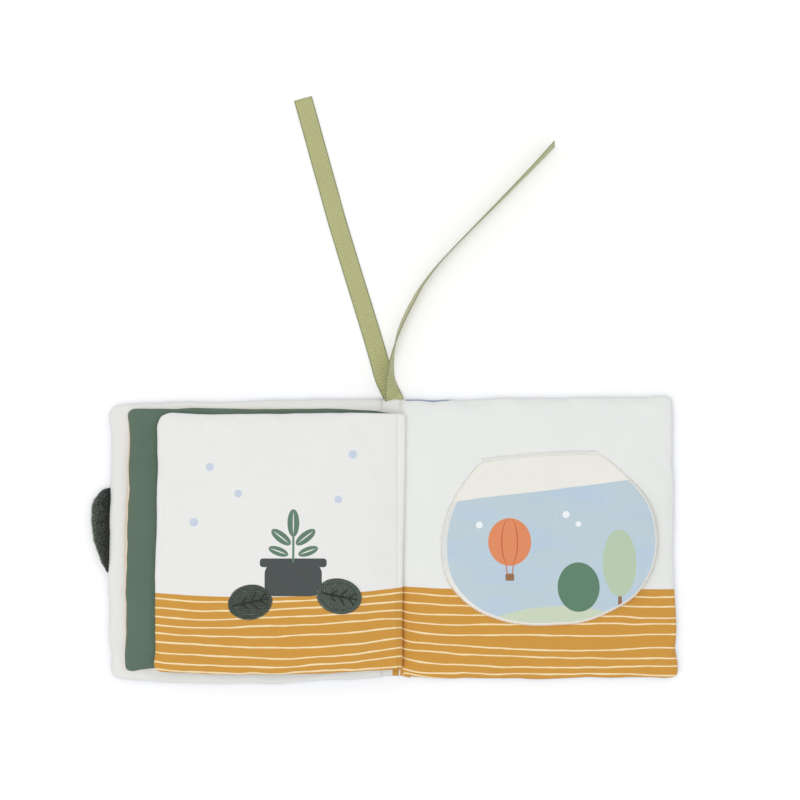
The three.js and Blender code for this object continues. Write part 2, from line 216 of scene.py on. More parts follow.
def makePlainWeave():
    group, given, out = newGroup(
        "plain weave",
        [("Place", "vector", None), ("Pitch", "value", 0.45), ("Slub", "value", 0.3)],
        [("Height", "value"), ("Shade", "value")],
    )
    x, y, _ = separate(group, given["Place"])
    turn = calc(group, "DIVIDE", math.pi, given["Pitch"])
    warp = calc(group, "ABSOLUTE", calc(group, "SINE", product(group, x, turn)))
    weft = calc(group, "ABSOLUTE", calc(group, "SINE", product(group, y, turn)))
    across = noiseAt(group, stretched(group, given["Place"], clothLook["slubsAcross"]), 1.0)
    down = noiseAt(group, stretched(group, given["Place"], clothLook["slubsDown"]), 1.0)
    slub = calc(group, "SUBTRACT", calc(group, "ADD", across, down), 1.0)
    slub = product(group, slub, given["Slub"])
    threads = product(group, calc(group, "ADD", warp, weft), 0.5)
    feed(group, out["Height"], calc(group, "ADD", threads, slub))
    feed(group, out["Shade"], scaled(group, slub, clothLook["slubShade"], 1.0))
    return group


def makeMottling():
    group, given, out = newGroup(
        "soft mottling",
        [("Place", "vector", None), ("Size", "value", 40.0), ("Amount", "value", 0.05)],
        [("Factor", "value")],
    )
    cloud = noiseAt(group, divided(group, given["Place"], given["Size"]), 1.0, 3.0)
    shade = product(group, calc(group, "SUBTRACT", cloud, 0.5), given["Amount"], 2.0)
    feed(group, out["Factor"], calc(group, "ADD", 1.0, shade))
    return group


band = {
    "gutter": 5.3,
    "gutterFade": 0.5,
    "line": 0.78,
    "inkEdge": 0.14,
    # the top of the field: height, slope and bend at the left, height and rise at the right
    "leftTop": (-29.9, 1.5, 3.5),
    "leftFrom": -59.0,
    "leftSpan": 64.0,
    "rightTop": (-25.9, 1.5),
    "riseReach": 17.0,
    "wobble": 0.75,
    "wobbleStretch": (0.045, 0.13, 0.0),
    "penStretch": (0.12, 0.35, 0.0),
    "reach": (-130.0, 150.0),
    "deepest": 80.0,
    # the lines, by how far each lies under the top of the field at these places along x
    "at": (-112.0, -49.0, 4.8, 5.8, 25.0, 110.0, 137.0),
    "lines": [
        (2.9, 2.5, 2.7, 3.3, 3.6, 4.0, 4.2),
        (7.8, 6.3, 7.4, 8.3, 8.6, 9.0, 9.2),
        (12.2, 10.5, 11.8, 12.9, 13.8, 14.0, 15.1),
        (16.6, 14.8, 16.3, 17.7, 18.8, 17.9, 18.5),
        (21.0, 20.4, 20.8, 22.2, 24.0, 24.2, 24.0),
        (25.1, 26.6, 26.5, 28.1, 29.2, 32.0, 30.8),
        (30.6, 31.9, 31.1, 32.6, 33.5, 36.1, 36.2),
        (35.7, 36.0, 35.7, 37.4, 39.3, 40.9, 40.4),
        (39.3, 39.3, 41.3, 43.3, 44.3, 44.1, 45.2),
        (60.0, 60.0, 60.0, 45.4, 47.0, 48.6, 49.6),
    ],
}


def drawnCurve(tree, value, low, high, points, top):
    # a smooth curve through a few points, its values between 0 and top
    node = tree.nodes.new("ShaderNodeFloatCurve")
    curve = node.mapping.curves[0]
    curve.points[0].location = (0.0, points[0][1] / top)
    curve.points[1].location = (1.0, points[-1][1] / top)
    for x, y in points:
        curve.points.new((x - low) / (high - low), y / top)
    for point in curve.points:
        point.handle_type = "AUTO_CLAMPED"
    node.mapping.update()
    share = calc(tree, "DIVIDE", calc(tree, "SUBTRACT", value, low), high - low)
    feed(tree, node.inputs["Value"], share)
    return calc(tree, "MULTIPLY", node.outputs[0], top)


def makeWavyBand():
    # an ochre field along the foot of both pages, with cream lines drawn by hand
    colours = [(label, "colour", None) for label in ("Cloth", "Ochre", "Cream")]
    inputs = [("Place", "vector", None), *colours]
    group, given, out = newGroup("wavy band", inputs, [("Color", "colour")])
    x, y, _ = separate(group, given["Place"])
    t = calc(group, "DIVIDE", calc(group, "SUBTRACT", x, band["leftFrom"]), band["leftSpan"])
    base, slope, bend = band["leftTop"]
    left = scaled(group, scaled(group, t, bend, slope), t, base)
    fromGutter = calc(group, "MAXIMUM", calc(group, "SUBTRACT", x, band["gutter"]), 0.0)
    fallen = calc(group, "EXPONENT", calc(group, "DIVIDE", fromGutter, -band["riseReach"]))
    level, extra = band["rightTop"]
    right = scaled(group, fallen, extra, level)
    fade = band["gutterFade"]
    isRight = ramp(group, x, band["gutter"] - fade, band["gutter"] + fade)
    isLeft = calc(group, "SUBTRACT", 1.0, isRight)
    top = calc(group, "ADD", product(group, isRight, right), product(group, isLeft, left))
    below = calc(group, "SUBTRACT", top, y)
    sway = noiseAt(group, stretched(group, given["Place"], band["wobbleStretch"]), 1.0, 1.0)
    swayed = calc(group, "ADD", below, scaled(group, sway, 2 * band["wobble"], -band["wobble"]))
    off = None
    for depths in band["lines"]:
        points = list(zip(band["at"], depths))
        middle = drawnCurve(group, x, *band["reach"], points, band["deepest"])
        away = calc(group, "ABSOLUTE", calc(group, "SUBTRACT", swayed, middle))
        off = away if off is None else calc(group, "MINIMUM", off, away)
    pen = noiseAt(group, stretched(group, given["Place"], band["penStretch"]), 1.0, 1.0)
    half = scaled(group, pen, band["line"] / 2, band["line"] / 4)
    line = softEdge(group, calc(group, "SUBTRACT", half, off), band["inkEdge"])
    printed = softEdge(group, below, band["inkEdge"])
    ink = blendColour(group, line, given["Ochre"], given["Cream"])
    feed(group, out["Color"], blendColour(group, printed, given["Cloth"], ink))
    return group


# painted light and shade of the pile: the darkest tone between tufts and how much lighter their crowns are
pileLook = {"grain": 2.2, "grainHeight": 0.5, "darkest": 0.62, "lighter": 0.36}


def makePile():
    group, given, out = newGroup(
        "short pile",
        [("Place", "vector", None), ("Tuft", "value", 0.7)],
        [("Height", "value"), ("Shade", "value")],
    )
    tufts = divided(group, given["Place"], given["Tuft"])
    cells = group.nodes.new("ShaderNodeTexVoronoi")
    feed(group, cells.inputs["Vector"], tufts)
    cells.inputs["Scale"].default_value = 1.0
    grain = noiseAt(group, tufts, pileLook["grain"], 2.0)
    height = calc(group, "SUBTRACT", 1.0, cells.outputs["Distance"])
    feed(group, out["Height"], scaled(group, grain, pileLook["grainHeight"], height))
    # painted light and shade: each tuft lighter on its crown and darker between tufts, with random grain on
    # top
    light = calc(group, "ADD", height, grain)
    feed(group, out["Shade"], scaled(group, light, pileLook["lighter"], pileLook["darkest"]))
    return group


plainWeave = makePlainWeave()
softMottling = makeMottling()
wavyBand = makeWavyBand()
shortPile = makePile()


def newMaterial(name, roughness=0.85, sheen=0.0):
    material = bpy.data.materials.new(name)
    material.use_nodes = True
    shader = material.node_tree.nodes["Principled BSDF"]
    shader.inputs["Roughness"].default_value = roughness
    shader.inputs["Specular IOR Level"].default_value = clothLook["gloss"]
    shader.inputs["Sheen Weight"].default_value = sheen
    return material, material.node_tree, shader


def tint(tree, colour, *factors):
    # a colour made lighter or darker by values round 1
    node = tree.nodes.new("ShaderNodeVectorMath")
    node.operation = "SCALE"
    feed(tree, node.inputs[0], colour)
    feed(tree, node.inputs["Scale"], product(tree, *factors))
    return node.outputs[0]


def raiseSurface(tree, shader, height, distance):
    node = tree.nodes.new("ShaderNodeBump")
    node.inputs["Distance"].default_value = distance * mm
    feed(tree, node.inputs["Height"], height)
    feed(tree, shader.inputs["Normal"], node.outputs[0])


def solidColour(tree, colour):
    node = tree.nodes.new("ShaderNodeRGB")
    node.outputs[0].default_value = linear(colour)
    return node.outputs[0]


def finishCloth(tree, shader, place, colour, **changed):
    look = {**clothLook, **changed}
    weave = useGroup(tree, plainWeave, Place=place, Pitch=look["pitch"], Slub=look["slub"])
    cloud = useGroup(tree, softMottling, Place=place, Size=look["cloud"], Amount=look["mottle"])
    feed(tree, shader.inputs["Base Color"], tint(tree, colour, weave["Shade"], cloud["Factor"]))
    raiseSurface(tree, shader, weave["Height"], look["bump"])
    feed(tree, shader.inputs["Roughness"], product(tree, cloud["Factor"], look["roughness"]))


def ellipseMask(tree, place, middle, radii, turn=0.0, soft=0.16):
    x, y, _ = separate(tree, place)
    x = calc(tree, "SUBTRACT", x, middle[0])
    y = calc(tree, "SUBTRACT", y, middle[1])
    c, s = math.cos(math.radians(turn)), math.sin(math.radians(turn))
    a = calc(tree, "DIVIDE", scaled(tree, x, c, product(tree, y, s)), radii[0])
    b = calc(tree, "DIVIDE", scaled(tree, y, c, product(tree, x, -s)), radii[1])
    return softEdge(tree, calc(tree, "SUBTRACT", 1.0, lengthOf(tree, a, b)), soft / min(radii))


def boxMask(tree, place, middle, half, corner, soft=0.16):
    x, y, _ = separate(tree, place)
    sides = []
    for value, centre, reach in zip((x, y), middle, half):
        away = calc(tree, "ABSOLUTE", calc(tree, "SUBTRACT", value, centre))
        sides.append(calc(tree, "MAXIMUM", calc(tree, "SUBTRACT", away, reach - corner), 0.0))
    return softEdge(tree, calc(tree, "SUBTRACT", corner, lengthOf(tree, *sides)), soft)


inks = {
    "page": (234, 234, 232),
    "rightPage": (233, 235, 233),
    "coverPage": (231, 231, 228),
    "ochre": (206, 151, 66),
    "cream": (246, 226, 182),
    "dot": (199, 211, 226),
    "outerBlue": (150, 164, 188),
    "green": (92, 112, 97),
    "peach": (226, 210, 190),
    # painted light: the leaf root's cloth is lighter than the page, against the shade on its steep slope
    "leafRimShade": (110, 113, 88),
    # painted shade on the rolled edge of the green cloth
    "rootPageLit": (240, 240, 238),
    "dark": (76, 81, 81),
    "leafInk": (98, 128, 108),
    "creamThread": (250, 243, 234),
    "whiteThread": (248, 248, 244),
    "seamThread": (242, 241, 237),
    "allowance": (239, 239, 235),
}

# ---- artwork of this book: a pot plant on the left page, a balloon over hills on the flap
plantArt = {
    # middle, half size and corner
    "pot": ((-52.0, -21.0), (15.0, 8.6), 5.5),
    "rim": ((-52.0, -12.2), (17.5, 2.3), 1.6),
    "stem": ((-52.0, -3.0), (0.55, 9.0), 0.5),
    "sprig": [  # x, y, long radius, short radius, turn
        (-52.0, 8.6, 7.2, 3.1, 90),
        (-45.6, 1.2, 6.2, 2.7, 38),
        (-58.4, 1.2, 6.2, 2.7, 142),
        (-44.2, -6.2, 5.4, 2.3, 20),
        (-59.8, -6.2, 5.4, 2.3, 160),
    ],
    "veinShare": 0.72,
    "veinWidth": 0.3,
    "dots": [  # x, y, radius
        (-96.0, 38.0, 2.1), (-21.0, 44.5, 2.2), (-28.5, 21.0, 2.0), (-104.0, 9.0, 2.2), (-81.0, 24.0, 2.0),
    ],
    "dotEdge": 0.3,
}


def drawPlant(tree, place, colour):
    potBody, potRim = (boxMask(tree, place, *plantArt[part]) for part in ("pot", "rim"))
    colour = blendColour(tree, calc(tree, "MAXIMUM", potBody, potRim), colour, linear(inks["dark"]))
    leafMask = boxMask(tree, place, *plantArt["stem"])
    for x, y, far, near, turn in plantArt["sprig"]:
        leafMask = calc(tree, "MAXIMUM", leafMask, ellipseMask(tree, place, (x, y), (far, near), turn))
    colour = blendColour(tree, leafMask, colour, linear(inks["leafInk"]))
    for x, y, far, _, turn in plantArt["sprig"]:
        radii = (far * plantArt["veinShare"], plantArt["veinWidth"])
        vein = ellipseMask(tree, place, (x, y), radii, turn)
        colour = blendColour(tree, vein, colour, linear(inks["page"]))
    for x, y, radius in plantArt["dots"]:
        dot = ellipseMask(tree, place, (x, y), (radius, radius), soft=plantArt["dotEdge"])
        colour = blendColour(tree, dot, colour, linear(inks["dot"]))
    return colour


# how the outer cloth shows over the head of the right page
bluePeek = {
    "from": 6.9, "to": 34.5, "above": 70.0, "narrows": (34.0, 29.0), "least": 0.75, "raggedness": 0.4,
    "edge": 0.2,
}


def rollBlueOver(tree, place, colour):
    x, y, _ = separate(tree, place)
    ragged = noiseAt(tree, stretched(tree, place, (bluePeek["raggedness"], 0.0, 0.0)), 1.0)
    width = product(tree, ramp(tree, x, *bluePeek["narrows"]), calc(tree, "ADD", bluePeek["least"], ragged))
    peek = product(
        tree,
        softEdge(tree, calc(tree, "SUBTRACT", width, readInset(tree)), bluePeek["edge"]),
        calc(tree, "GREATER_THAN", y, bluePeek["above"]),
        calc(tree, "GREATER_THAN", x, bluePeek["from"]),
        calc(tree, "LESS_THAN", x, bluePeek["to"]),
    )
    return blendColour(tree, peek, colour, linear(inks["outerBlue"]))


def pageMaterial(name, paper="page", drawing=None, bandFrom=None):
    material, tree, shader = newMaterial(name, sheen=clothLook["sheen"])
    place = readPlace(tree)
    colour = useGroup(
        tree, wavyBand, Place=place,
        Cloth=linear(inks[paper]), Ochre=linear(inks["ochre"]), Cream=linear(inks["cream"]),
    )["Color"]
    if bandFrom is not None:
        x, _, _ = separate(tree, place)
        isBand = calc(tree, "GREATER_THAN", x, bandFrom)
        colour = blendColour(tree, isBand, linear(inks[paper]), colour)
    if drawing:
        colour = drawing(tree, place, colour)
    finishCloth(tree, shader, place, colour)
    return material


# how the lower cloth of the green leaf shows along its fore-edge, with painted shade on the rolled edge of
# the green beside it
peachPeek = {
    "before": -138.5, "least": 0.4, "more": 1.15, "head": (66.0, 36.0), "foot": (-70.0, -20.0),
    "raggedness": 0.07, "edge": 0.3, "rimWidth": 0.9, "rimEdge": 0.5, "rimShade": 0.6,
}


def rollPeachOver(tree, place, colour):
    x, y, _ = separate(tree, place)
    ragged = noiseAt(tree, stretched(tree, place, (0.0, peachPeek["raggedness"], 0.0)), 1.0, 3.0)
    fromHead, fromFoot = (ramp(tree, y, *peachPeek[end]) for end in ("head", "foot"))
    width = scaled(tree, fromHead, peachPeek["more"], peachPeek["least"])
    width = product(tree, width, fromFoot, calc(tree, "ADD", ragged, 0.5))
    inside = calc(tree, "SUBTRACT", width, readInset(tree))
    fore = calc(tree, "LESS_THAN", x, peachPeek["before"])
    # painted shade: a darker olive line on the green cloth's rolled edge beside the peach
    rim = calc(tree, "ADD", inside, peachPeek["rimWidth"])
    rim = calc(tree, "DIVIDE", rim, peachPeek["rimEdge"], clamp=True)
    rim = product(tree, rim, fore, peachPeek["rimShade"])
    colour = blendColour(tree, rim, colour, linear(inks["leafRimShade"]))
    peek = product(tree, softEdge(tree, inside, peachPeek["edge"]), fore)
    return blendColour(tree, peek, colour, linear(inks["peach"]))


def plainCloth(name, ink, mottle=0.04, pitch=clothLook["pitch"], drawing=None):
    material, tree, shader = newMaterial(name, sheen=clothLook["sheen"])
    place = readPlace(tree)
    colour = solidColour(tree, ink)
    if drawing:
        colour = drawing(tree, place, colour)
    finishCloth(tree, shader, place, colour, pitch=pitch, mottle=mottle)
    return material


threadLook = {"grain": 5.0, "darkest": 0.82, "lighter": 0.34, "sheen": 0.2, "bump": 0.05}


def threadMaterial(name, ink, roughness=0.6):
    material, tree, shader = newMaterial(name, roughness, sheen=threadLook["sheen"])
    grain = noiseAt(tree, stretched(tree, readPlace(tree), [threadLook["grain"]] * 3), 1.0, 2.0)
    shade = scaled(tree, grain, threadLook["lighter"], threadLook["darkest"])
    feed(tree, shader.inputs["Base Color"], tint(tree, solidColour(tree, ink), shade))
    raiseSurface(tree, shader, grain, threadLook["bump"])
    return material


plushLook = {
    "roughness": 0.95, "sheen": 0.45, "sheenRoughness": 0.5, "ribHeight": 0.8, "paintedRibShade": 0.24,
    # painted shade beside the cover's edge and painted light towards the outer end: least share, how much
    # more, and its power
    "inside": 0.42, "paintedLightGain": 1.8, "paintedLightPower": 2.0,
}


def plushMaterial(name, ink, tuft, bump, contrast, ribs=None, shadeToLight=None):
    material, tree, shader = newMaterial(name, plushLook["roughness"], sheen=plushLook["sheen"])
    shader.inputs["Sheen Roughness"].default_value = plushLook["sheenRoughness"]
    place = readPlace(tree)
    x, y, _ = separate(tree, place)
    pile = useGroup(tree, shortPile, Place=place, Tuft=tuft)
    # the pile's painted light and shade, made stronger by a power
    height, shade = pile["Height"], calc(tree, "POWER", pile["Shade"], contrast)
    if ribs:
        # a ribbed velour: the rows follow each other along x or y
        way, pitch = ribs
        rows = calc(tree, "SINE", product(tree, x if way == "x" else y, 2 * math.pi / pitch))
        height = scaled(tree, rows, plushLook["ribHeight"], height)
        # painted shade: each row lighter on its crest and darker between rows
        shade = product(tree, shade, scaled(tree, rows, plushLook["paintedRibShade"], 1.0))
    if shadeToLight:
        # painted shade and light: darker beside the cover's edge, which overhangs it, and paler towards its
        # outer end, where the pile catches the light
        out = calc(tree, "POWER", ramp(tree, x, *shadeToLight), plushLook["paintedLightPower"])
        shade = product(tree, shade, scaled(tree, out, plushLook["paintedLightGain"], plushLook["inside"]))
    feed(tree, shader.inputs["Base Color"], tint(tree, solidColour(tree, ink), shade))
    raiseSurface(tree, shader, height, bump)
    return material


ribbonLook = {
    "ink": (190, 192, 137), "edgeInk": (140, 145, 102), "roughness": 0.55, "sheen": 0.15, "gloss": 0.4,
    # the rib shade here is painted shade: the grooves between the ribs darker and the crests lighter
    "ribPitch": 1.1, "ribDepth": 0.14, "paintedRibShade": 0.17, "wander": 0.4, "wanderStretch": (0.8, 0.25, 0.0),
    "selvedgeFrom": 4.35, "selvedgeTo": 4.55, "selvedgeFlat": 0.6,
    "cloud": 0.05, "cloudShade": 0.1, "level": 0.95,
}


def ribbonMaterial():
    look = ribbonLook
    material, tree, shader = newMaterial("grosgrain ribbon", look["roughness"], sheen=look["sheen"])
    shader.inputs["Specular IOR Level"].default_value = look["gloss"]
    place = readPlace(tree)
    way, across, _ = separate(tree, place)
    wander = noiseAt(tree, stretched(tree, place, look["wanderStretch"]), 1.0)
    turn = scaled(tree, way, 2 * math.pi / look["ribPitch"], product(tree, wander, look["wander"]))
    selvedge = ramp(tree, calc(tree, "ABSOLUTE", across), look["selvedgeFrom"], look["selvedgeTo"])
    ribs = product(tree, calc(tree, "SINE", turn), scaled(tree, selvedge, -look["selvedgeFlat"], 1.0))
    cloud = noiseAt(tree, stretched(tree, place, (look["cloud"], 0.0, 0.0)), 1.0)
    # painted shade: each rib lighter on its crest and darker in its groove
    shade = scaled(tree, ribs, look["paintedRibShade"], look["level"])
    shade = product(tree, shade, scaled(tree, cloud, look["cloudShade"], look["level"]))
    colour = blendColour(tree, selvedge, linear(look["ink"]), linear(look["edgeInk"]))
    feed(tree, shader.inputs["Base Color"], tint(tree, colour, shade))
    raiseSurface(tree, shader, ribs, look["ribDepth"])
    return material


studio = {
    "lamps": {  # place in metres, size and power
        "window": ((-0.45, -0.2, 1.65), 1.0, 7.3),
        "overhead": ((0.25, 0.0, 1.85), 2.2, 5.8),
    },
    "aim": (0, 0.05, 0), "worldLight": 0.68, "worldSeen": 1.0,
    "floor": (250, 250, 250), "floorRoughness": 0.9, "reach": 4.0, "drop": 0.0002,
    "glow": 2.15, "glowShare": 0.07,
}


def seenRays(tree):
    # 1 for what the camera sees, also through glass and in a mirror
    rays = tree.nodes.new("ShaderNodeLightPath").outputs
    other = calc(tree, "MAXIMUM", rays["Is Glossy Ray"], rays["Is Transmission Ray"])
    return calc(tree, "MAXIMUM", rays["Is Camera Ray"], other)


def addLight():
    for name, (place, size, power) in studio["lamps"].items():
        data = bpy.data.lights.new(name, "AREA")
        data.size = size
        data.energy = power
        lamp = bpy.data.objects.new(name, data)
        lamp.location = place
        towards = Vector(studio["aim"]) - Vector(place)
        lamp.rotation_euler = towards.to_track_quat("-Z", "Y").to_euler()
        lamp.visible_camera = False
        scene.collection.objects.link(lamp)
    world = bpy.data.worlds.new("studio")
    world.use_nodes = True
    scene.world = world
    tree = world.node_tree
    background = tree.nodes["Background"]
    background.inputs["Color"].default_value = (1, 1, 1, 1)
    more = studio["worldSeen"] - studio["worldLight"]
    feed(tree, background.inputs["Strength"], scaled(tree, seenRays(tree), more, studio["worldLight"]))


def addFloor():
    mesh = bpy.data.meshes.new("floor")
    r = studio["reach"]
    mesh.from_pydata([(-r, -r, 0), (r, -r, 0), (r, r, 0), (-r, r, 0)], [], [(0, 1, 2, 3)])
    floor = bpy.data.objects.new("floor", mesh)
    floor.location.z = -studio["drop"]
    scene.collection.objects.link(floor)
    material, tree, shader = newMaterial("pale floor", studio["floorRoughness"])
    shader.inputs["Base Color"].default_value = linear(studio["floor"])
    white = tree.nodes.new("ShaderNodeEmission")
    white.inputs["Strength"].default_value = studio["glow"]
    mix = tree.nodes.new("ShaderNodeMixShader")
    feed(tree, mix.inputs[0], product(tree, seenRays(tree), studio["glowShare"]))
    tree.links.new(shader.outputs[0], mix.inputs[1])
    tree.links.new(white.outputs[0], mix.inputs[2])
    tree.links.new(mix.outputs[0], tree.nodes["Material Output"].inputs["Surface"])
    mesh.materials.append(material)


addLight()
addFloor()
print("camera, light and floor placed")


# ---- mesh helpers
def addPiece(name, points, faces, materials, places=None, faceMaterials=None, insets=None):
    mesh = bpy.data.meshes.new(name)
    points = np.asarray(points, float)
    mesh.from_pydata((points * mm).tolist(), [], faces)
    values = np.asarray(points if places is None else places, np.float32)
    mesh.attributes.new("place", "FLOAT_VECTOR", "POINT").data.foreach_set("vector", values.ravel())
    if insets is not None:
        # how far each point lies from the seam along the rim
        values = np.asarray(insets, np.float32)
        mesh.attributes.new("inset", "FLOAT", "POINT").data.foreach_set("value", values)
    for material in materials:
        mesh.materials.append(material)
    mesh.polygons.foreach_set("use_smooth", [True] * len(faces))
    if faceMaterials is not None:
        mesh.polygons.foreach_set("material_index", faceMaterials)
    mesh.update()
    piece = bpy.data.objects.new(name, mesh)
    scene.collection.objects.link(piece)
    return piece


def smoothSurface(piece):
    modifier = piece.modifiers.new("smooth", "SUBSURF")
    modifier.levels = modifier.render_levels = 1


def smoothStep(value, low, high):
    t = np.clip((value - low) / (high - low), 0, 1)
    return t * t * (3 - 2 * t)


def stepUp(value, span):
    # from 0 to 1 over a span, eased at both ends
    return float(smoothStep(value, *span))


def rise(value, step):
    amount, low, high = step
    return amount * stepUp(value, (low, high))


def wave(x, y, size, seed):
    return noise.noise(Vector((x / size, y / size, seed)))


def ruffle(x, y, unevenness):
    # an unevenness is its height, the size of its swells and a seed
    height, size, seed = unevenness
    return height * wave(x, y, size, seed)


def tubeFaces(first, rings, count, flipped=False):
    # the faces of a tube with closed ends, ring after ring
    faces = []
    for i in range(rings - 1):
        for j in range(count):
            a, b = first + i * count + j, first + i * count + (j + 1) % count
            faces.append((a, a + count, b + count, b) if flipped else (a, b, b + count, a + count))
    ends = range(first, first + count), range(first + (rings - 1) * count, first + rings * count)
    if flipped:
        return [*faces, tuple(ends[0]), tuple(reversed(ends[1]))]
    return [*faces, tuple(reversed(ends[0])), tuple(ends[1])]


def routeThrough(route, steps):
    # a centripetal curve through the places of a route, with its last column eased along
    points = [np.array(p[:3], float) for p in route]
    rolls = [p[3] if len(p) > 3 else 0.0 for p in route]
    ends = [2 * points[0] - points[1], *points, 2 * points[-1] - points[-2]]
    endRolls = [2 * rolls[0] - rolls[1], *rolls, 2 * rolls[-1] - rolls[-2]]
    centres, turns = [], []
    for i in range(len(points) - 1):
        p0, p1, p2, p3 = ends[i : i + 4]
        r0, r1, r2, r3 = endRolls[i : i + 4]
        gaps = ((p0, p1), (p1, p2), (p2, p3))
        d0, d1, d2 = (max(np.linalg.norm(b - a) ** 0.5, 1e-4) for a, b in gaps)
        t1 = ((p1 - p0) / d0 - (p2 - p0) / (d0 + d1) + (p2 - p1) / d1) * d1
        t2 = ((p2 - p1) / d1 - (p3 - p1) / (d1 + d2) + (p3 - p2) / d2) * d1
        last = i == len(points) - 2
        for k in range(steps + (1 if last else 0)):
            t = k / steps
            a, b = 2 * t**3 - 3 * t**2 + 1, t**3 - 2 * t**2 + t
            c, d = -2 * t**3 + 3 * t**2, t**3 - t**2
            centres.append(a * p1 + b * t1 + c * p2 + d * t2)
            turns.append(a * r1 + b * (r2 - r0) / 2 + c * r2 + d * (r3 - r1) / 2)
    return centres, turns


threadEnds = {"narrowed": 0.55, "pointed": 0.15}


def threadMesh(name, runs, radius, material, sides=5, pointed=False):
    # thin tubes along many short runs of points, as one mesh
    points, faces = [], []
    for run in runs:
        run = [np.array(p, float) for p in run]
        faces += tubeFaces(len(points), len(run), sides)
        side = None
        for i, p in enumerate(run):
            ahead = run[min(i + 1, len(run) - 1)] - run[max(i - 1, 0)]
            ahead /= max(np.linalg.norm(ahead), 1e-9)
            if side is None:
                side = np.cross(ahead, (0.0, 0.0, 1.0))
                if np.linalg.norm(side) < 1e-3:
                    side = np.cross(ahead, (1.0, 0.0, 0.0))
            side = side - ahead * (side @ ahead)
            side /= max(np.linalg.norm(side), 1e-9)
            up = np.cross(side, ahead)
            r = radius
            if i in (0, len(run) - 1):
                r *= threadEnds["pointed" if pointed and i else "narrowed"]
            for j in range(sides):
                a = 2 * math.pi * j / sides
                points.append(p + side * (r * math.cos(a)) + up * (r * math.sin(a)))
    return addPiece(name, points, faces, [material])


# ---- ribbon: one length folded in the middle and sewn in at the head of the spine
ribbon = {
    "width": 10.0,
    "thickness": 0.56,
    "foldThickness": 1.8,
    "stepsBetweenPlaces": 9,
    # half of its section: millimetres in from the woven edge, then shares of half the width, each
    # with its height as a share of half the thickness
    "wovenEdge": [(0.08, 0.6), (0.35, 1.05), (0.75, 0.8)],
    "middle": (-0.6, -0.3, 0.0, 0.3, 0.6),
    "middleHeight": 0.8,
    # x, y, height and roll in degrees
    "left": [
        (1.2, 73.2, 1.95, 0), (0.6, 75.5, 1.9, 0), (-0.4, 77.8, 1.3, 0), (-2.2, 81.6, 0.65, 0),
        (-4.6, 87, 0.52, 0), (-7.4, 97, 0.5, 0), (-9.95, 106, 0.5, 0), (-12.8, 115.5, 0.5, 0),
        (-16, 126, 0.5, 0), (-19.1, 136, 0.5, 0), (-22, 145.4, 0.5, 0), (-24.9, 155, 0.5, 0),
        (-27.8, 164.6, 0.5, 0), (-30.6, 174, 0.5, 0), (-34.7, 188.8, 0.5, 0), (-39.3, 205.4, 0.5, 0),
        (-44.1, 222.8, 0.5, 0), (-49, 240.4, 0.5, 0),
    ],
    "right": [
        (0.75, 73.2, 2.85, 0), (0.7, 75.0, 2.95, 4), (0.45, 76.2, 3.5, 18), (0.2, 77.4, 4.2, 28),
        (-0.1, 79.0, 4.8, 38), (-0.6, 82.3, 5.05, 51), (-1.0, 85.7, 5.15, 62), (-0.95, 89.9, 5.15, 72),
        (-0.68, 94.2, 5.15, 77), (-0.05, 98.4, 5.15, 83), (0.6, 101.6, 5.15, 87), (3.2, 111.4, 5.15, 99),
        (7.3, 121.1, 5.1, 103), (11.3, 128.9, 5.1, 103), (15.2, 135.8, 5.1, 100), (22.7, 146, 5.15, 97),
        (31.5, 155.8, 5.15, 95.5), (45.6, 170.4, 5.15, 94), (57.7, 182.7, 5.15, 91.5),
        (69.3, 194.7, 5.1, 89), (78.7, 204.5, 5.1, 86.5), (87.7, 214.3, 5.1, 83),
    ],
    "seat": [(0.7, 61.5, 2.4, 0), (0.7, 66, 2.4, 0), (0.7, 71, 2.4, 0), (0.7, 75.6, 2.4, 0)],
}
grosgrain = ribbonMaterial()


def ribbonBand(name, route, thickness):
    centres, turns = routeThrough(route, ribbon["stepsBetweenPlaces"])
    half = ribbon["width"] / 2
    # across the band, its woven edges a little thicker than the middle
    edge = [(-half + a, b) for a, b in ribbon["wovenEdge"]]
    upper = [(-half, 0.0), *edge, *((half * s, ribbon["middleHeight"]) for s in ribbon["middle"])]
    upper += [(-a, b) for a, b in reversed(edge)] + [(half, 0.0)]
    section = [(a, b * thickness / 2) for a, b in upper]
    section += [(a, -b) for a, b in reversed(section[1:-1])]
    points, places = [], []
    travelled = 0.0
    for i, centre in enumerate(centres):
        ahead = centres[min(i + 1, len(centres) - 1)] - centres[max(i - 1, 0)]
        ahead = ahead / np.linalg.norm(ahead)
        sideways = np.cross((0, 0, 1), ahead)
        sideways = sideways / np.linalg.norm(sideways)
        lifted = np.cross(ahead, sideways)
        roll = math.radians(turns[i])
        across = sideways * math.cos(roll) + lifted * math.sin(roll)
        outwards = np.cross(ahead, across)
        if i:
            travelled += float(np.linalg.norm(centre - centres[i - 1]))
        for a, b in section:
            points.append(centre + across * a + outwards * b)
            places.append((travelled, a, b))
    faces = tubeFaces(0, len(centres), len(section))
    piece = addPiece(name, points, faces, [grosgrain], places)
    return piece, [tuple(c * mm) for c in centres], travelled * mm


for side in ("left", "right"):
    tail, path, length = ribbonBand(f"ribbon_{side}_tail_cloth", ribbon[side], ribbon["thickness"])
    # the first stretch is sewn in, and the free length starts behind it
    length -= math.dist(path[0], path[ribbon["stepsBetweenPlaces"]])
    path = path[ribbon["stepsBetweenPlaces"] :]
    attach(tail, "back_cover")
    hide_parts(f"ribbon_{side}_tail")
    print(f"ribbon {side} tail: {length * 1000:.1f} mm")

seat, _, _ = ribbonBand("ribbon_fold", ribbon["seat"], ribbon["foldThickness"])
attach(seat, "back_cover")
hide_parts("ribbon_anchor")

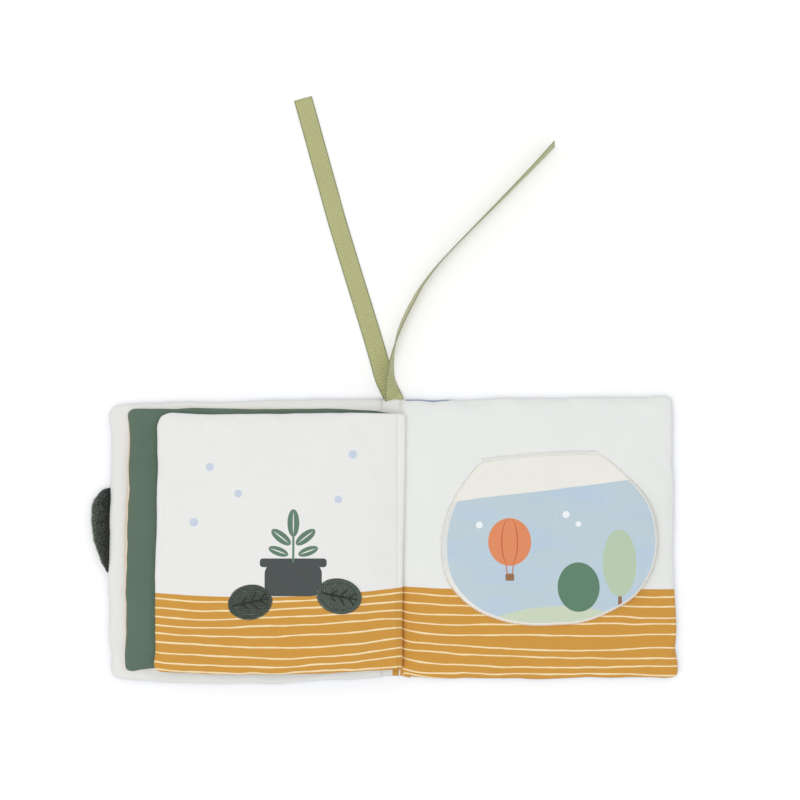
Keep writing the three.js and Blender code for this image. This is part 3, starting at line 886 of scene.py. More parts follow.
# ---- padded covers and leaves
gutterPageCloth = pageMaterial("gutter cloth", bandFrom=0.0)
leftPageCloth = pageMaterial("left page print", drawing=drawPlant)
# painted light: the leaf root is printed on a lighter cloth than the page, against the shade on its slope
# into the gutter
rootCloth = pageMaterial("leaf root print", paper="rootPageLit")
rightPageCloth = pageMaterial("right page print", paper="rightPage", drawing=rollBlueOver)
outerCloth = plainCloth("outer cloth", inks["outerBlue"])
greenCloth = plainCloth("green cloth", inks["green"], mottle=0.16, drawing=rollPeachOver)
greenUnder = plainCloth("green under cloth", inks["green"])
peachCloth = plainCloth("peach cloth", inks["peach"])
plainPageCloth = plainCloth("plain page cloth", inks["coverPage"], mottle=clothLook["mottle"])

padLook = {
    "cells": (54, 54), "cellPower": 1.25, "fill": 0.4,
    # how far in the seam is felt, and where the cloth comes loose from the spine
    "seamReach": 4.0, "loose": (2, 18), "alongSeam": 0.97, "inward": 0.2,
    # height, size and seed of each unevenness, the seed on top of the piece's own
    "wander": (0.16, 5.0, 0), "drift": (0.22, 14.0, 7), "pucker": (0.5, 4.5, 3),
    "swell": (0.5, 38.0, 11), "ripple": (0.14, 11.0, 13),
}
# the filling's pressure; nothing moves further than the cap in millimetres, or near the spine rim
clothSettings = {
    "frames": 14, "quality": 5, "mass": 0.25, "stiffness": 25, "shear": 8, "bending": 0.4,
    "ease": 0.02, "pressure": 2.5, "cap": 0.55, "free": (2, 14),
}


def padProfile(away, reach, power=2.4):
    t = np.clip(1 - away / reach, 0, 1)
    return float((1 - t**power) ** 0.5)


def along(table, at):
    return float(np.interp(at, [p[0] for p in table], [p[1] for p in table]))


def paddedPiece(name, cut, materials):
    # two cloths sewn together along an outline, turned and filled; the seam is drawn in and let
    # out along each side by a table of (place, outwards)
    across, up = padLook["cells"]
    low = np.array([cut["left"], cut["bottom"]])
    high = np.array([cut["right"], cut["top"]])
    centre, half = (low + high) / 2, (high - low) / 2

    def planPlace(u, v):
        corner = cut["corners"][int(u > 0)][int(v > 0)]
        p = np.array([u, v]) * half
        if corner:
            inner = half - corner
            q = np.abs(p) - inner
            if q[0] > 0 and q[1] > 0:
                a, b = q / corner
                q = corner * np.array([a * math.sqrt(1 - b * b / 2), b * math.sqrt(1 - a * a / 2)])
                p = np.sign(p) * (inner + q)
            q = np.abs(p) - inner
            away = corner - math.hypot(max(q[0], 0), max(q[1], 0)) - min(max(q[0], q[1]), 0)
        else:
            away = min(half - np.abs(p))
        # on the spine's side only the head and foot have a seam that is free
        free = away if cut["spineSide"] * p[0] < 0 else half[1] - abs(p[1])
        p = p + centre
        s, t = (u + 1) / 2, (v + 1) / 2
        edges = cut["edges"]
        dx = along(edges["right"], p[1]) * s - along(edges["left"], p[1]) * (1 - s)
        dy = along(edges["top"], p[0]) * t - along(edges["bottom"], p[0]) * (1 - t)
        return p + (dx, dy), max(float(free), 0.0)

    def uneven(key, x, y, side=0):
        height, size, extra = padLook[key]
        return height * wave(x, y, size, cut["seed"] + extra + side)

    def addPoint(i, j, side):
        (x, y), away = planPlace(columns[i], rows[j])
        fromSpine = max((x - cut["spine"]) * -cut["spineSide"], 0.0)
        bottom, top = cut["surfaces"](fromSpine)
        puff = padProfile(away, cut["shoulder"])
        nearEdge = math.exp(-away / padLook["seamReach"])
        loose = stepUp(fromSpine, padLook["loose"])
        # the seam wanders, and the cloth puckers along it
        wander = uneven("wander", x, y) + uneven("drift", x, y)
        outward = (np.array([x, y]) - centre) / half
        outward /= max(np.abs(outward).max(), 1e-6)
        isAlong = np.abs(outward) > padLook["alongSeam"]
        outward = np.where(isAlong, np.sign(outward), outward * padLook["inward"])
        spread = cut["spread"] + wander * loose
        x2, y2 = np.array([x, y]) + outward * spread * nearEdge
        pucker = uneven("pucker", x, y, side) * nearEdge * puff * loose
        swell = uneven("swell", x, y, side) * puff**2
        swell += uneven("ripple", x, y, side) * puff
        middle, reach = (top + bottom) / 2, (top - bottom) / 2
        z = middle + side * (reach * puff + pucker + swell * cut["softness"] * loose)
        if side < 0:
            z = max(z, cut["floor"])
        points.append((x2, y2, z))
        places.append((x, y, z))
        insets.append(away)
        return len(points) - 1

    def eased(i, count):
        # cells are narrower near the seam
        s = 2 * i / count - 1
        return math.copysign(1 - (1 - abs(s)) ** padLook["cellPower"], s)

    points, places, insets, grid, rimPoints = [], [], [], {}, []
    columns = [eased(i, across) for i in range(across + 1)]
    rows = [eased(i, up) for i in range(up + 1)]
    for j in range(up + 1):
        for i in range(across + 1):
            rim = i in (0, across) or j in (0, up)
            a = addPoint(i, j, 1)
            b = a if rim else addPoint(i, j, -1)
            grid[i, j] = (a, b)
            if rim:
                x, y, z = points[a]
                spineRim = i == (across if cut["spineSide"] > 0 else 0)
                if spineRim:
                    bottom, top = cut["surfaces"](0.0)
                    points[a] = (x, y, (top + bottom) / 2)
                rimPoints.append(a)
    faces, which = [], []
    for j in range(up):
        for i in range(across):
            corners = [grid[i, j], grid[i + 1, j], grid[i + 1, j + 1], grid[i, j + 1]]
            faces.append(tuple(c[0] for c in corners))
            which.append(0)
            faces.append(tuple(c[1] for c in reversed(corners)))
            which.append(1)
    piece = addPiece(name, points, faces, materials, places, which, insets)
    seam = piece.vertex_groups.new(name="seam")
    seam.add(rimPoints, 1.0, "REPLACE")
    return piece


def settleCloth(piece, cut):
    # the filling presses outwards while the seam holds, which pulls creases in from the seam
    start = np.zeros(len(piece.data.vertices) * 3)
    piece.data.vertices.foreach_get("co", start)
    start = start.reshape(-1, 3)
    cloth = piece.modifiers.new("cloth", "CLOTH")
    values = cloth.settings
    values.quality = clothSettings["quality"]
    values.mass = clothSettings["mass"]
    values.tension_stiffness = values.compression_stiffness = clothSettings["stiffness"]
    values.shear_stiffness = clothSettings["shear"]
    values.bending_stiffness = clothSettings["bending"]
    values.shrink_min = -clothSettings["ease"]
    values.use_pressure = True
    values.uniform_pressure_force = clothSettings["pressure"]
    values.effector_weights.gravity = 0
    values.vertex_group_mass = "seam"
    cloth.collision_settings.use_collision = False
    cloth.point_cache.frame_start = 1
    cloth.point_cache.frame_end = clothSettings["frames"]
    for number in range(1, clothSettings["frames"] + 1):
        scene.frame_set(number)
    settled = piece.evaluated_get(bpy.context.evaluated_depsgraph_get())
    end = np.zeros(len(settled.data.vertices) * 3)
    settled.data.vertices.foreach_get("co", end)
    moved = end.reshape(-1, 3) - start
    piece.modifiers.remove(cloth)
    scene.frame_set(1)
    moved[~np.isfinite(moved)] = 0
    far = np.linalg.norm(moved, axis=1, keepdims=True)
    cap = clothSettings["cap"] * mm
    moved *= cap * np.tanh(far / cap) / np.maximum(far, 1e-9)
    fromSpine = (cut["spine"] - start[:, :1] / mm) * cut["spineSide"]
    moved *= smoothStep(fromSpine, *clothSettings["free"])
    # it doesn't sink into what it lies on
    placed = start + moved
    placed[:, 2] = np.maximum(placed[:, 2], cut["floor"] * mm)
    piece.data.vertices.foreach_set("co", placed.ravel())
    piece.data.update()
    print(f"{piece.name}: cloth moved up to {far.max() * 1000:.2f} mm, kept to {clothSettings['cap']} mm")


def fall(distance, reach, power=1.15):
    # 0 at the spine, near 1 beyond the reach
    return 1 - math.exp(-((distance / reach) ** power))


flatEdge = [(0, 0)]
# the tables of the edges hold a place along the side and how far the seam lies outside it there
coverShape = {"bottom": -75.0, "top": 75.0, "shoulder": 8.0, "floor": 0.0, "softness": 0.5, "spread": 0.08}
covers = {
    "front_cover": {
        "left": -150.0, "right": -4.6, "spine": -4.6, "spineSide": 1, "seed": 1.3, "shoulder": 5.0,
        "corners": ((4.5, 5.2), (0, 0)), "materials": [plainPageCloth, outerCloth],
        "surfaces": lambda d: (1.6 * (1 - fall(d, 4)), 3.6 + 3.4 * padProfile(d, 7.0)),
        "edges": {
            "left": [
                (-72, -1.0), (-68, -0.7), (-62, -0.9), (-55, 0.6), (-45, 0.65), (-35, 0.75), (-25, 1.4),
                (-18, 1.3), (0, 1.0), (28, 0.85), (40, 0.85), (50, 0.75), (60, 0.8), (65, 1.7),
                (69, 2.4), (72, 1.2),
            ],
            "right": flatEdge,
            "top": [
                (-147, -2.5), (-140, -2.1), (-130, -1.35), (-120, -0.9), (-105, -0.75), (-90, -0.85),
                (-75, -0.25), (-60, 0.15), (-50, 0.3), (-45, 0.75), (-30, 1.0), (-10, 0.8), (-5, 0.8),
            ],
            "bottom": [
                (-147, -2.2), (-144, -1.7), (-130, -0.6), (-120, 0.3), (-105, 0.7), (-90, 0.9),
                (-75, 0.6), (-60, 0.9), (-50, -0.1), (-40, -0.6), (-30, -1.1), (-20, -1.4),
                (-10, -2.2), (-5, -2.9),
            ],
        },
    },
    "back_cover": {
        "left": 4.2, "right": 150.0, "spine": 4.2, "spineSide": -1, "seed": 5.1,
        "corners": ((0, 0), (4.0, 4.0)), "materials": [rightPageCloth, outerCloth],
        "surfaces": lambda d: (1.6 * (1 - fall(d, 4)), 5.9 + 1.1 * padProfile(d, 9.0)),
        "edges": {
            "left": flatEdge,
            "right": [
                (-72, 1.1), (-68, 1.05), (-60, -0.15), (-50, 0.65), (-40, 0.4), (-28, -0.3),
                (-20, -0.45), (-5, -0.55), (8, 0.0), (25, 0.15), (40, -0.25), (60, 0.0), (69, -0.3),
            ],
            "top": [
                (8, 0.5), (15, 0.55), (22, 0.15), (30, 0.7), (36, 0.15), (42, 0.45), (50, 0.8),
                (60, 1.2), (70, 1.1), (80, 1.5), (90, 1.1), (100, 1.7), (120, 1.8), (130, 1.85),
                (135, 1.75), (140, 2.1), (146, 2.4),
            ],
            "bottom": [
                (5, -3.2), (9, -3.0), (15, -2.4), (22, -2.0), (30, -1.8), (60, -1.8), (75, -1.6),
                (90, -2.0), (100, -2.35), (130, -2.35), (143, -2.15), (148, -2.5),
            ],
        },
    },
}
leafShape = {"shoulder": 7.0, "floor": -10.0, "softness": 0.4, "spread": 0.42, "spineSide": 1}
leaves = {
    "green_leaf": {
        "left": -141.0, "right": 1.3, "bottom": -69.2, "top": 69.2, "spine": 1.3, "seed": 9.7,
        "corners": ((4.4, 4.6), (0, 0)), "materials": [greenCloth, peachCloth],
        "surfaces": lambda d: (7.3 + 2.5 * (1 - fall(d, 7)), 10.4 + 2.6 * fall(d, 10)),
        "edges": {
            "left": [
                (-67, -0.3), (-60, -0.3), (-50, -0.5), (-40, -0.15), (-30, 0.35), (-20, 0.2),
                (-10, 0.45), (0, 0.5), (10, 0.7), (20, 0.1), (30, -0.25), (40, -0.3), (50, -0.5),
                (60, -0.55), (66, 0.15),
            ],
            "right": flatEdge,
            "top": [
                (-137, 0.45), (-115, 0.45), (-105, 0.75), (-90, 0.6), (-70, 0.3), (-50, 0.4),
                (-35, 0.5), (-25, 0.2), (-15, -0.25), (-8, -0.8), (-4, -1.6), (1, -2.2),
            ],
            "bottom": [(-137, -0.3), (-132, -1.25), (-126, -1.9), (-110, -1.3), (-60, -0.8), (0, -1.2)],
        },
    },
    "top_leaf": {
        "left": -125.0, "right": 2.9, "bottom": -69.9, "top": 67.5, "spine": 2.9, "seed": 14.2,
        "corners": ((5.2, 9.2), (0, 0)), "materials": [leftPageCloth, greenUnder],
        "surfaces": lambda d: (13.25 + 0.1 * fall(d, 5), 13.85 + 5.15 * fall(d, 12)),
        "edges": {
            "left": [
                (-66, -0.2), (-60, -1.1), (-50, -0.85), (-30, -0.5), (-15, -0.4), (0, -0.8),
                (20, -1.0), (40, -1.1), (50, -0.8), (62, -0.5),
            ],
            "right": flatEdge,
            "top": [
                (-118, -0.3), (-114, -0.6), (-105, -1.2), (-95, -1.35), (-75, -1.1), (-55, -1.05),
                (-42, -0.65), (-25, -0.7), (-10, -0.6), (3, -0.8),
            ],
            "bottom": [
                (-120, -0.9), (-114, -0.65), (-105, -0.5), (-96, 0.15), (-75, 0.35), (-45, 0.2),
                (-35, -0.2), (-25, -0.75), (-15, -1.45), (-5, -1.85), (3, -2.4),
            ],
        },
    },
}


def finishPad(body, cut):
    piece = paddedPiece(f"{body}_pad", cut, cut["materials"])
    settleCloth(piece, cut)
    smoothSurface(piece)
    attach(piece, body)
    parts = ("page_panel", "outer_panel") if "cover" in body else ("upper_panel", "lower_panel")
    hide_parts(*(f"{body}_{part}" for part in (*parts, "wadding", "crinkle_film")))
    print(f"{body} padded")


for body, cover in covers.items():
    finishPad(body, {**coverShape, **cover})
for body, leaf in leaves.items():
    finishPad(body, {**leafShape, **leaf})

# ---- spine: the cloths that join the covers, and the sewn roots of the leaves
spine = {
    "left": -8.5, "right": 9.5, "ends": (-71.3, 75.3), "columns": 24, "rows": 90,
    # the gutter cloth hangs at its height and rises to the right page and over the left cover,
    # each rise given with where along x it begins and ends
    "thickness": 0.5, "height": 3.9, "rightRise": (2.0, 1.0, 6.0), "leftRise": (0.7, 3.0, 8.0),
    "footOut": (1.1, 4.0, 9.0), "endHeight": 3.6, "endReach": 4.0,
    # amount, size and seed of each unevenness
    "unevenness": (0.3, 4.0, 31.0), "gathers": (0.7, 3.2, 33.0), "gathersNarrower": 1.3,
    "gatheredAbove": (64, 69), "gatheredLeftOf": (-3.4, 0),
    # the outer cloth
    "outerLeft": -6.0, "outerRight": 7.0, "outerHeight": 1.0, "outerThickness": 0.9, "outerFoot": 0.2,
    "outerUnevenness": (0.08, 5.0, 41.0),
}


def sheetPiece(name, columns, rows, topAt, thickness, material):
    # a cloth between two lines of places, as a thin closed sheet
    points, places, faces = [], [], []
    for side in (0, 1):
        for j in range(rows + 1):
            for i in range(columns + 1):
                x, y, z = topAt(i / columns, j / rows)
                points.append((x, y, z - side * thickness))
                places.append((x, y, z))
    count = (columns + 1) * (rows + 1)

    def at(i, j):
        return j * (columns + 1) + i

    for j in range(rows):
        for i in range(columns):
            a, b, c, d = at(i, j), at(i + 1, j), at(i + 1, j + 1), at(i, j + 1)
            faces.append((a, b, c, d))
            faces.append((d + count, c + count, b + count, a + count))
    rim = [at(i, 0) for i in range(columns)] + [at(columns, j) for j in range(rows)]
    rim += [at(i, rows) for i in range(columns, 0, -1)] + [at(0, j) for j in range(rows, 0, -1)]
    for a, b in zip(rim, rim[1:] + rim[:1]):
        faces.append((a, a + count, b + count, b))
    return addPiece(name, points, faces, [material], places)


def gutterTop(u, v):
    x = spine["left"] + (spine["right"] - spine["left"]) * u
    low, high = spine["ends"]
    low -= rise(x, spine["footOut"])
    y = low + (high - low) * v
    # it hangs between the shoulders of the covers and meets the right page
    z = spine["height"] + rise(x, spine["rightRise"]) + rise(-x, spine["leftRise"])
    z += ruffle(x, y, spine["unevenness"])
    # small folds where it is gathered at the head
    above = stepUp(y, spine["gatheredAbove"])
    gathered = above * stepUp(-x, spine["gatheredLeftOf"])
    z += ruffle(x * spine["gathersNarrower"], y, spine["gathers"]) * gathered
    end = min(y - low, high - y)
    return x, y, spine["endHeight"] + (z - spine["endHeight"]) * padProfile(end, spine["endReach"])


def spineTop(u, v):
    x = spine["outerLeft"] + (spine["outerRight"] - spine["outerLeft"]) * u
    low, high = spine["ends"]
    low -= spine["outerFoot"]
    y = low + (high - low) * v
    return x, y, spine["outerHeight"] + ruffle(x, y, spine["outerUnevenness"])


gridSize = spine["columns"], spine["rows"]
gutter = sheetPiece("gutter_cloth", *gridSize, gutterTop, spine["thickness"], gutterPageCloth)
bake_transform(gutter)
outer = sheetPiece("spine_outer_cloth", *gridSize, spineTop, spine["outerThickness"], outerCloth)
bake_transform(outer)
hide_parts("spine_strip")

rootShape = {
    "ends": (-67.5, 66.8), "rows": 110, "middle": 2.6, "endRounding": 0.7, "endWidth": 0.75,
    # the crease runs a little to the right towards the head
    "width": 0.84, "wider": (0.5, -50, 70), "unevenness": (0.04, 7.0, 51.0),
    # it stays under the leaves as they turn over it: height at a place, and the slope from there
    "under": (13.8, 2.5, 0.66), "printTo": 5.0,
    "profile": [
        (5.75, 1.7), (5.8, 4.0), (5.8, 7.0), (5.8, 9.4), (5.75, 10.4), (5.45, 11.3), (4.75, 12.15),
        (4.1, 12.8), (3.5, 13.3), (2.9, 13.7), (2.3, 13.6), (1.75, 13.3), (1.5, 12.2), (1.5, 10.0),
        (1.55, 7.0), (1.6, 4.0), (1.7, 1.7),
    ],
}


def leafRoots():
    low, high = rootShape["ends"]
    middle = rootShape["middle"]
    ceiling, ceilingFrom, slope = rootShape["under"]
    points, places = [], []
    for j in range(rootShape["rows"] + 1):
        y = low + (high - low) * j / rootShape["rows"]
        blunt = 1 - min(y - low, high - y) / rootShape["endRounding"]
        blunt = math.sqrt(max(0.0, 1 - max(0.0, blunt) ** 2))
        wide = rootShape["width"] + rise(y, rootShape["wider"]) + ruffle(0.0, y, rootShape["unevenness"])
        ends = rootShape["endWidth"] + (1 - rootShape["endWidth"]) * blunt
        for x, z in rootShape["profile"]:
            x = middle + (x - middle) * ends * (wide if x > middle else 1.0)
            z = min(z, ceiling - slope * (x - ceilingFrom))
            points.append((x, y, z))
            # printed as the left page up to its right edge
            places.append((min(x, rootShape["printTo"]), y, z))
    faces = tubeFaces(0, rootShape["rows"] + 1, len(rootShape["profile"]), flipped=True)
    return addPiece("leaf_root_cloth", points, faces, [rootCloth], places)


roots = leafRoots()
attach(roots, "back_cover")
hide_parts("leaf_root_fin")
print("spine joined")

# ---- lift flap
flap = {
    "centre": 82.6, "leftAngle": 130.4, "rightAngle": 58.4, "arch": 1.35,
    # from the hinge's left end round the foot to its right end, in even steps
    "radii": [
        54.4, 54.4, 55.9, 57.3, 57.9, 54.5, 49.8, 46.5, 45.2, 47.1, 49.9, 54.6, 57, 57.5, 56.7, 53.9, 53.6,
    ],
    "bottom": 7.5, "thickness": 1.0, "arcSteps": 150, "hingeSteps": 36, "rings": 22, "ringPower": 2.0,
    # the cloth ends inside the stitches, thinner there and rounded
    "inset": 0.35, "edgeThickness": 0.35, "edgeReach": 0.9, "middleInset": 40.0, "heldDown": (30, 44),
    # the free edge on the right stands up a little, and the foot hardly
    "rightLift": 2.8, "rightPower": 1.3, "rightFrom": (104, 141), "rightAbove": (-46, -10),
    "footLift": (0.35, 20, 46),
    "creases": (0.16, 7.0, 61.0), "creaseStretch": (0.35, 1.6), "swell": (0.2, 26.0, 63.0),
}


def flapSweep():
    return 360 + flap["rightAngle"] - flap["leftAngle"]


def flapEdge(share, inset=0.0):
    # a place on the curved edge, or inside it, at a share of the way round
    radii = flap["radii"]
    at = min(max(share, 0.0), 1.0) * (len(radii) - 1)
    i = min(int(at), len(radii) - 2)
    t = at - i
    a, b, c, d = (radii[min(max(i + k, 0), len(radii) - 1)] for k in (-1, 0, 1, 2))
    curve = (c - a) * t + (2 * a - 5 * b + 4 * c - d) * t * t + (3 * b - a - 3 * c + d) * t**3
    radius = b + 0.5 * curve - inset
    angle = math.radians(flap["leftAngle"] + flapSweep() * share)
    return np.array([flap["centre"] + radius * math.cos(angle), radius * math.sin(angle)])


def flapLift(x, y):
    right = stepUp(x, flap["rightFrom"]) * stepUp(-y, flap["rightAbove"])
    lift = flap["rightLift"] * right ** flap["rightPower"] + rise(-y, flap["footLift"])
    narrower, shorter = flap["creaseStretch"]
    lift += ruffle(x * narrower, y * shorter, flap["creases"])
    return lift + ruffle(x, y, flap["swell"])


flapArt = {
    "inks": {
        "field": (190, 207, 216), "deep": (184, 205, 224), "margin": (235, 234, 227),
        # painted shade: the cool grey of the margin where its rolled edge is in shade
        "marginShade": (221, 224, 222), "balloon": (224, 140, 98), "gore": (196, 104, 72),
        "light": (184, 203, 176), "dark": (96, 131, 108), "hill": (203, 214, 190),
        # painted shade: the warm beige between the stitches of the folded edge
        "hemShade": (226, 208, 190), "white": (238, 242, 246), "basket": (150, 112, 84),
    },
    "edge": 0.16,
    # the sky's upper end: height, slope, how much it sags and how often
    "skyTop": (15.5, 0.1225, 1.6, 0.03),
    # the margin: width at the foot, more at the left, less at the right, and its bend; and over which y its
    # painted shade beside the blue comes in
    "margin": (1.7, 2.2, 0.5, 4.0), "marginReach": 57.0, "marginShadeFrom": (-26.0, -12.0),
    "cloud": (0.022, 0.06, 0.0), "cloudFrom": (0.46, 0.71),
    # painted shade between the stitches: how far in from the edge, and over which y it comes in towards the
    # foot
    "hemShadeWidth": (1.15, 0.75), "hemShadeBelow": (-14.0, -26.0),
    "cloth": {"pitch": 0.5, "slub": 0.42, "bump": 0.06},
    "pictures": [  # ink, form, middle, half size, and its turn, corner, edge or width
        ("hill", "oval", (84.0, -49.0), (40.0, 14.0), 3.0),
        ("dark", "oval", (98.3, -24.8), (11.1, 13.0), 0.0),
        ("basket", "box", (120.0, -29.0), (1.0, 6.0), 0.8),
        ("light", "oval", (120.0, -12.1), (8.8, 17.6), 0.0),
        ("basket", "box", (62.0, -19.6), (2.3, 1.9), 0.8),
        ("gore", "oval", (60.3, -15.0), (0.28, 4.0), 8.0),
        ("gore", "oval", (63.7, -15.0), (0.28, 4.0), -8.0),
        ("balloon", "oval", (62.0, -1.0), (11.4, 12.6), 0.0),
        ("gore", "ring", (62.0, -1.0), (4.55, 12.6), 0.7),
        ("white", "dot", (92.0, 13.5), (1.9, 1.9), 0.3),
        ("white", "dot", (98.5, 8.5), (1.5, 1.5), 0.3),
        ("white", "dot", (46.0, 8.0), (1.8, 1.8), 0.3),
    ],
}


def pictureMask(tree, place, form, middle, half, extra):
    if form == "box":
        return boxMask(tree, place, middle, half, extra)
    if form == "dot":
        return ellipseMask(tree, place, middle, half, soft=extra)
    if form == "ring":
        outside = ellipseMask(tree, place, middle, half)
        inside = ellipseMask(tree, place, middle, (half[0] - extra, half[1]))
        return calc(tree, "SUBTRACT", outside, inside, clamp=True)
    return ellipseMask(tree, place, middle, half, turn=extra)


def flapMaterial():
    material, tree, shader = newMaterial("flap print", sheen=clothLook["sheen"])
    place = readPlace(tree)
    x, y, _ = separate(tree, place)
    inset = readInset(tree)
    ink = {name: linear(value) for name, value in flapArt["inks"].items()}
    height, slope, sag, often = flapArt["skyTop"]
    sagging = noiseAt(tree, stretched(tree, place, (often, 0.0, 0.0)), 1.0)
    line = calc(tree, "ADD", scaled(tree, x, slope, height), product(tree, sagging, sag))
    under = softEdge(tree, calc(tree, "SUBTRACT", line, y), flapArt["edge"])
    # the margin is widest at the left
    width, atLeft, atRight, power = flapArt["margin"]
    fromLeft, fromRight = (
        ramp(tree, x, flap["centre"], flap["centre"] + way * flapArt["marginReach"]) for way in (-1, 1)
    )
    margin = scaled(tree, calc(tree, "POWER", fromLeft, power), atLeft, width)
    margin = scaled(tree, fromRight, -atRight, margin)
    field = softEdge(tree, calc(tree, "SUBTRACT", inset, margin), flapArt["edge"])
    field = product(tree, field, under)
    # painted shade: the margin is greyer beside the blue, where its rolled edge is in shade, and creamy
    # again at the foot
    beside = product(tree, under, ramp(tree, y, *flapArt["marginShadeFrom"]))
    colour = blendColour(tree, beside, ink["margin"], ink["marginShade"])
    # the printed blue is a little uneven
    cloud = noiseAt(tree, stretched(tree, place, flapArt["cloud"]), 1.0, 3.0)
    blue = blendColour(tree, ramp(tree, cloud, *flapArt["cloudFrom"]), ink["field"], ink["deep"])
    colour = blendColour(tree, field, colour, blue)
    for name, *picture in flapArt["pictures"]:
        mask = product(tree, pictureMask(tree, place, *picture), field)
        colour = blendColour(tree, mask, colour, ink[name])
    # painted shade: the folded edge is tinted a warm beige between the stitches towards the foot, where
    # they shade it
    hemShade = product(tree, ramp(tree, inset, *flapArt["hemShadeWidth"]), ramp(tree, y, *flapArt["hemShadeBelow"]))
    colour = blendColour(tree, hemShade, colour, ink["hemShade"])
    finishCloth(tree, shader, place, colour, **flapArt["cloth"])
    return material


def flapArch(t):
    # the sewn edge arches a little behind the line that it turns about
    return flap["arch"] * 4 * t * (1 - t)


def flapRim(inset):
    rim = [flapEdge(i / flap["arcSteps"], inset) for i in range(flap["arcSteps"] + 1)]
    start, end = rim[-1], rim[0]
    for i in range(1, flap["hingeSteps"]):
        t = i / flap["hingeSteps"]
        rim.append(start + (end - start) * t + (0.0, flapArch(t)))
    return rim


def liftFlap():
    rim = flapRim(flap["inset"])
    centre = np.array([flap["centre"], 0.0])
    half = flap["thickness"] / 2
    points, insets, faces, which = [], [], [], []
    rings, count = flap["rings"], len(rim)
    grid = {}
    for side in (1, -1):
        middle = flap["bottom"] + half
        points.append((*centre, middle + side * half + flapLift(*centre)))
        insets.append(flap["middleInset"])
        grid[side, 0] = [len(points) - 1] * count
        for r in range(1, rings + 1):
            if r == rings and side < 0:
                grid[side, r] = grid[1, r]
                continue
            share = 1 - (1 - r / rings) ** flap["ringPower"]
            grid[side, r] = range(len(points), len(points) + count)
            for p in rim:
                x, y = centre + (p - centre) * share
                away = np.linalg.norm(p - centre) * (1 - share)
                puff = padProfile(away, flap["edgeReach"])
                thick = flap["edgeThickness"] + (1 - flap["edgeThickness"]) * puff if r < rings else 0
                held = stepUp(y, flap["heldDown"])
                points.append((x, y, middle + side * half * thick + flapLift(x, y) * (1 - held)))
                insets.append(away + flap["inset"])
    for side in (1, -1):
        for r in range(rings):
            a, b = grid[side, r], grid[side, r + 1]
            for i in range(count):
                k = (i + 1) % count
                face = (a[i], b[i], b[k]) if r == 0 else (a[i], b[i], b[k], a[k])
                faces.append(face if side > 0 else tuple(reversed(face)))
                which.append(0 if side > 0 else 1)
    materials = [flapMaterial(), plainPageCloth]
    return addPiece("flap_cloth", points, faces, materials, faceMaterials=which, insets=insets)


flapPiece = liftFlap()
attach(flapPiece, "flap")
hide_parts("flap_face", "flap_backing")

creamThread = threadMaterial("cream thread", inks["creamThread"])
whiteThread = threadMaterial("white thread", inks["whiteThread"])
seamThread = threadMaterial("seam thread", inks["seamThread"])
allowanceCloth = plainCloth("flap seam allowance", inks["allowance"], pitch=flapArt["cloth"]["pitch"])

overcast = {
    "seed": 21, "radius": 0.2, "from": 0.006, "to": 0.994, "shareStep": 0.002,
    # each least and how much more at random
    "pitch": (1.0, 0.25), "inset": (1.35, 0.3), "slant": 0.35,
    # each stitch, by its share of the slant, its distance in from the hole or the edge, and its height
    "fromHole": [(-1.0, 0.0, 0.45), (-0.6, -0.6, 0.6)],
    "fromEdge": [(0.0, 0.55, 0.56), (0.2, 0.12, 0.25), (0.3, 0.12, -0.25), (0.5, 0.8, -0.55)],
}


def edgeStitches():
    # thread wound over the curved edge, its needle holes a little inside
    rng = random.Random(overcast["seed"])
    runs = []
    share, least = overcast["from"], overcast["shareStep"]
    pitch, more = overcast["pitch"]
    inset, deeper = overcast["inset"]
    while share < overcast["to"]:
        step = np.linalg.norm(flapEdge(share + least) - flapEdge(share)) / least
        hole = inset + deeper * rng.random()
        slant = overcast["slant"] / step
        over = flap["bottom"] + flap["thickness"] / 2 + flapLift(*flapEdge(share))
        places = [(a, hole + b, c) for a, b, c in overcast["fromHole"]] + overcast["fromEdge"]
        runs.append([(*flapEdge(share + slant * a, b), over + c) for a, b, c in places])
        share += (pitch + more * rng.random()) / step
    return threadMesh("flap_edge_stitches", runs, overcast["radius"], creamThread)


stitches = edgeStitches()
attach(stitches, "flap")
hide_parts("flap_edge_thread")

# the raw edge behind the hinge, by distances behind its line and heights over the page
hinge = {
    "seed": 8, "pageTop": 7.35, "ends": 0.025, "pitch": 1.15, "radius": 0.1,
    # share of one zigzag, distance and height
    "zigzag": [(0, -0.5, 0.95), (0.25, 0.5, 0.75), (0.5, 1.5, 0.35), (0.75, 0.5, 0.75), (1, -0.5, 0.95)],
    "fibres": 420, "fibreRadius": 0.07, "fibreShare": (0.01, 0.99), "fibreAt": (0.6, 1.5),
    "fibreReach": (0.4, 1.6), "fibreHeight": (0.05, 0.35), "lean": 0.9, "curl": 0.3, "rise": 0.4,
    "drop": 0.5,
    "cells": (90, 4), "stripEnds": 1.0, "stripFrom": -0.4, "stripWidth": 2.1, "stripHeight": 0.8,
    "stripFall": 0.62, "stripThickness": 0.6, "ragged": (0.25, 1.6, 71.0), "uneven": (0.08, 2.5, 73.0),
}


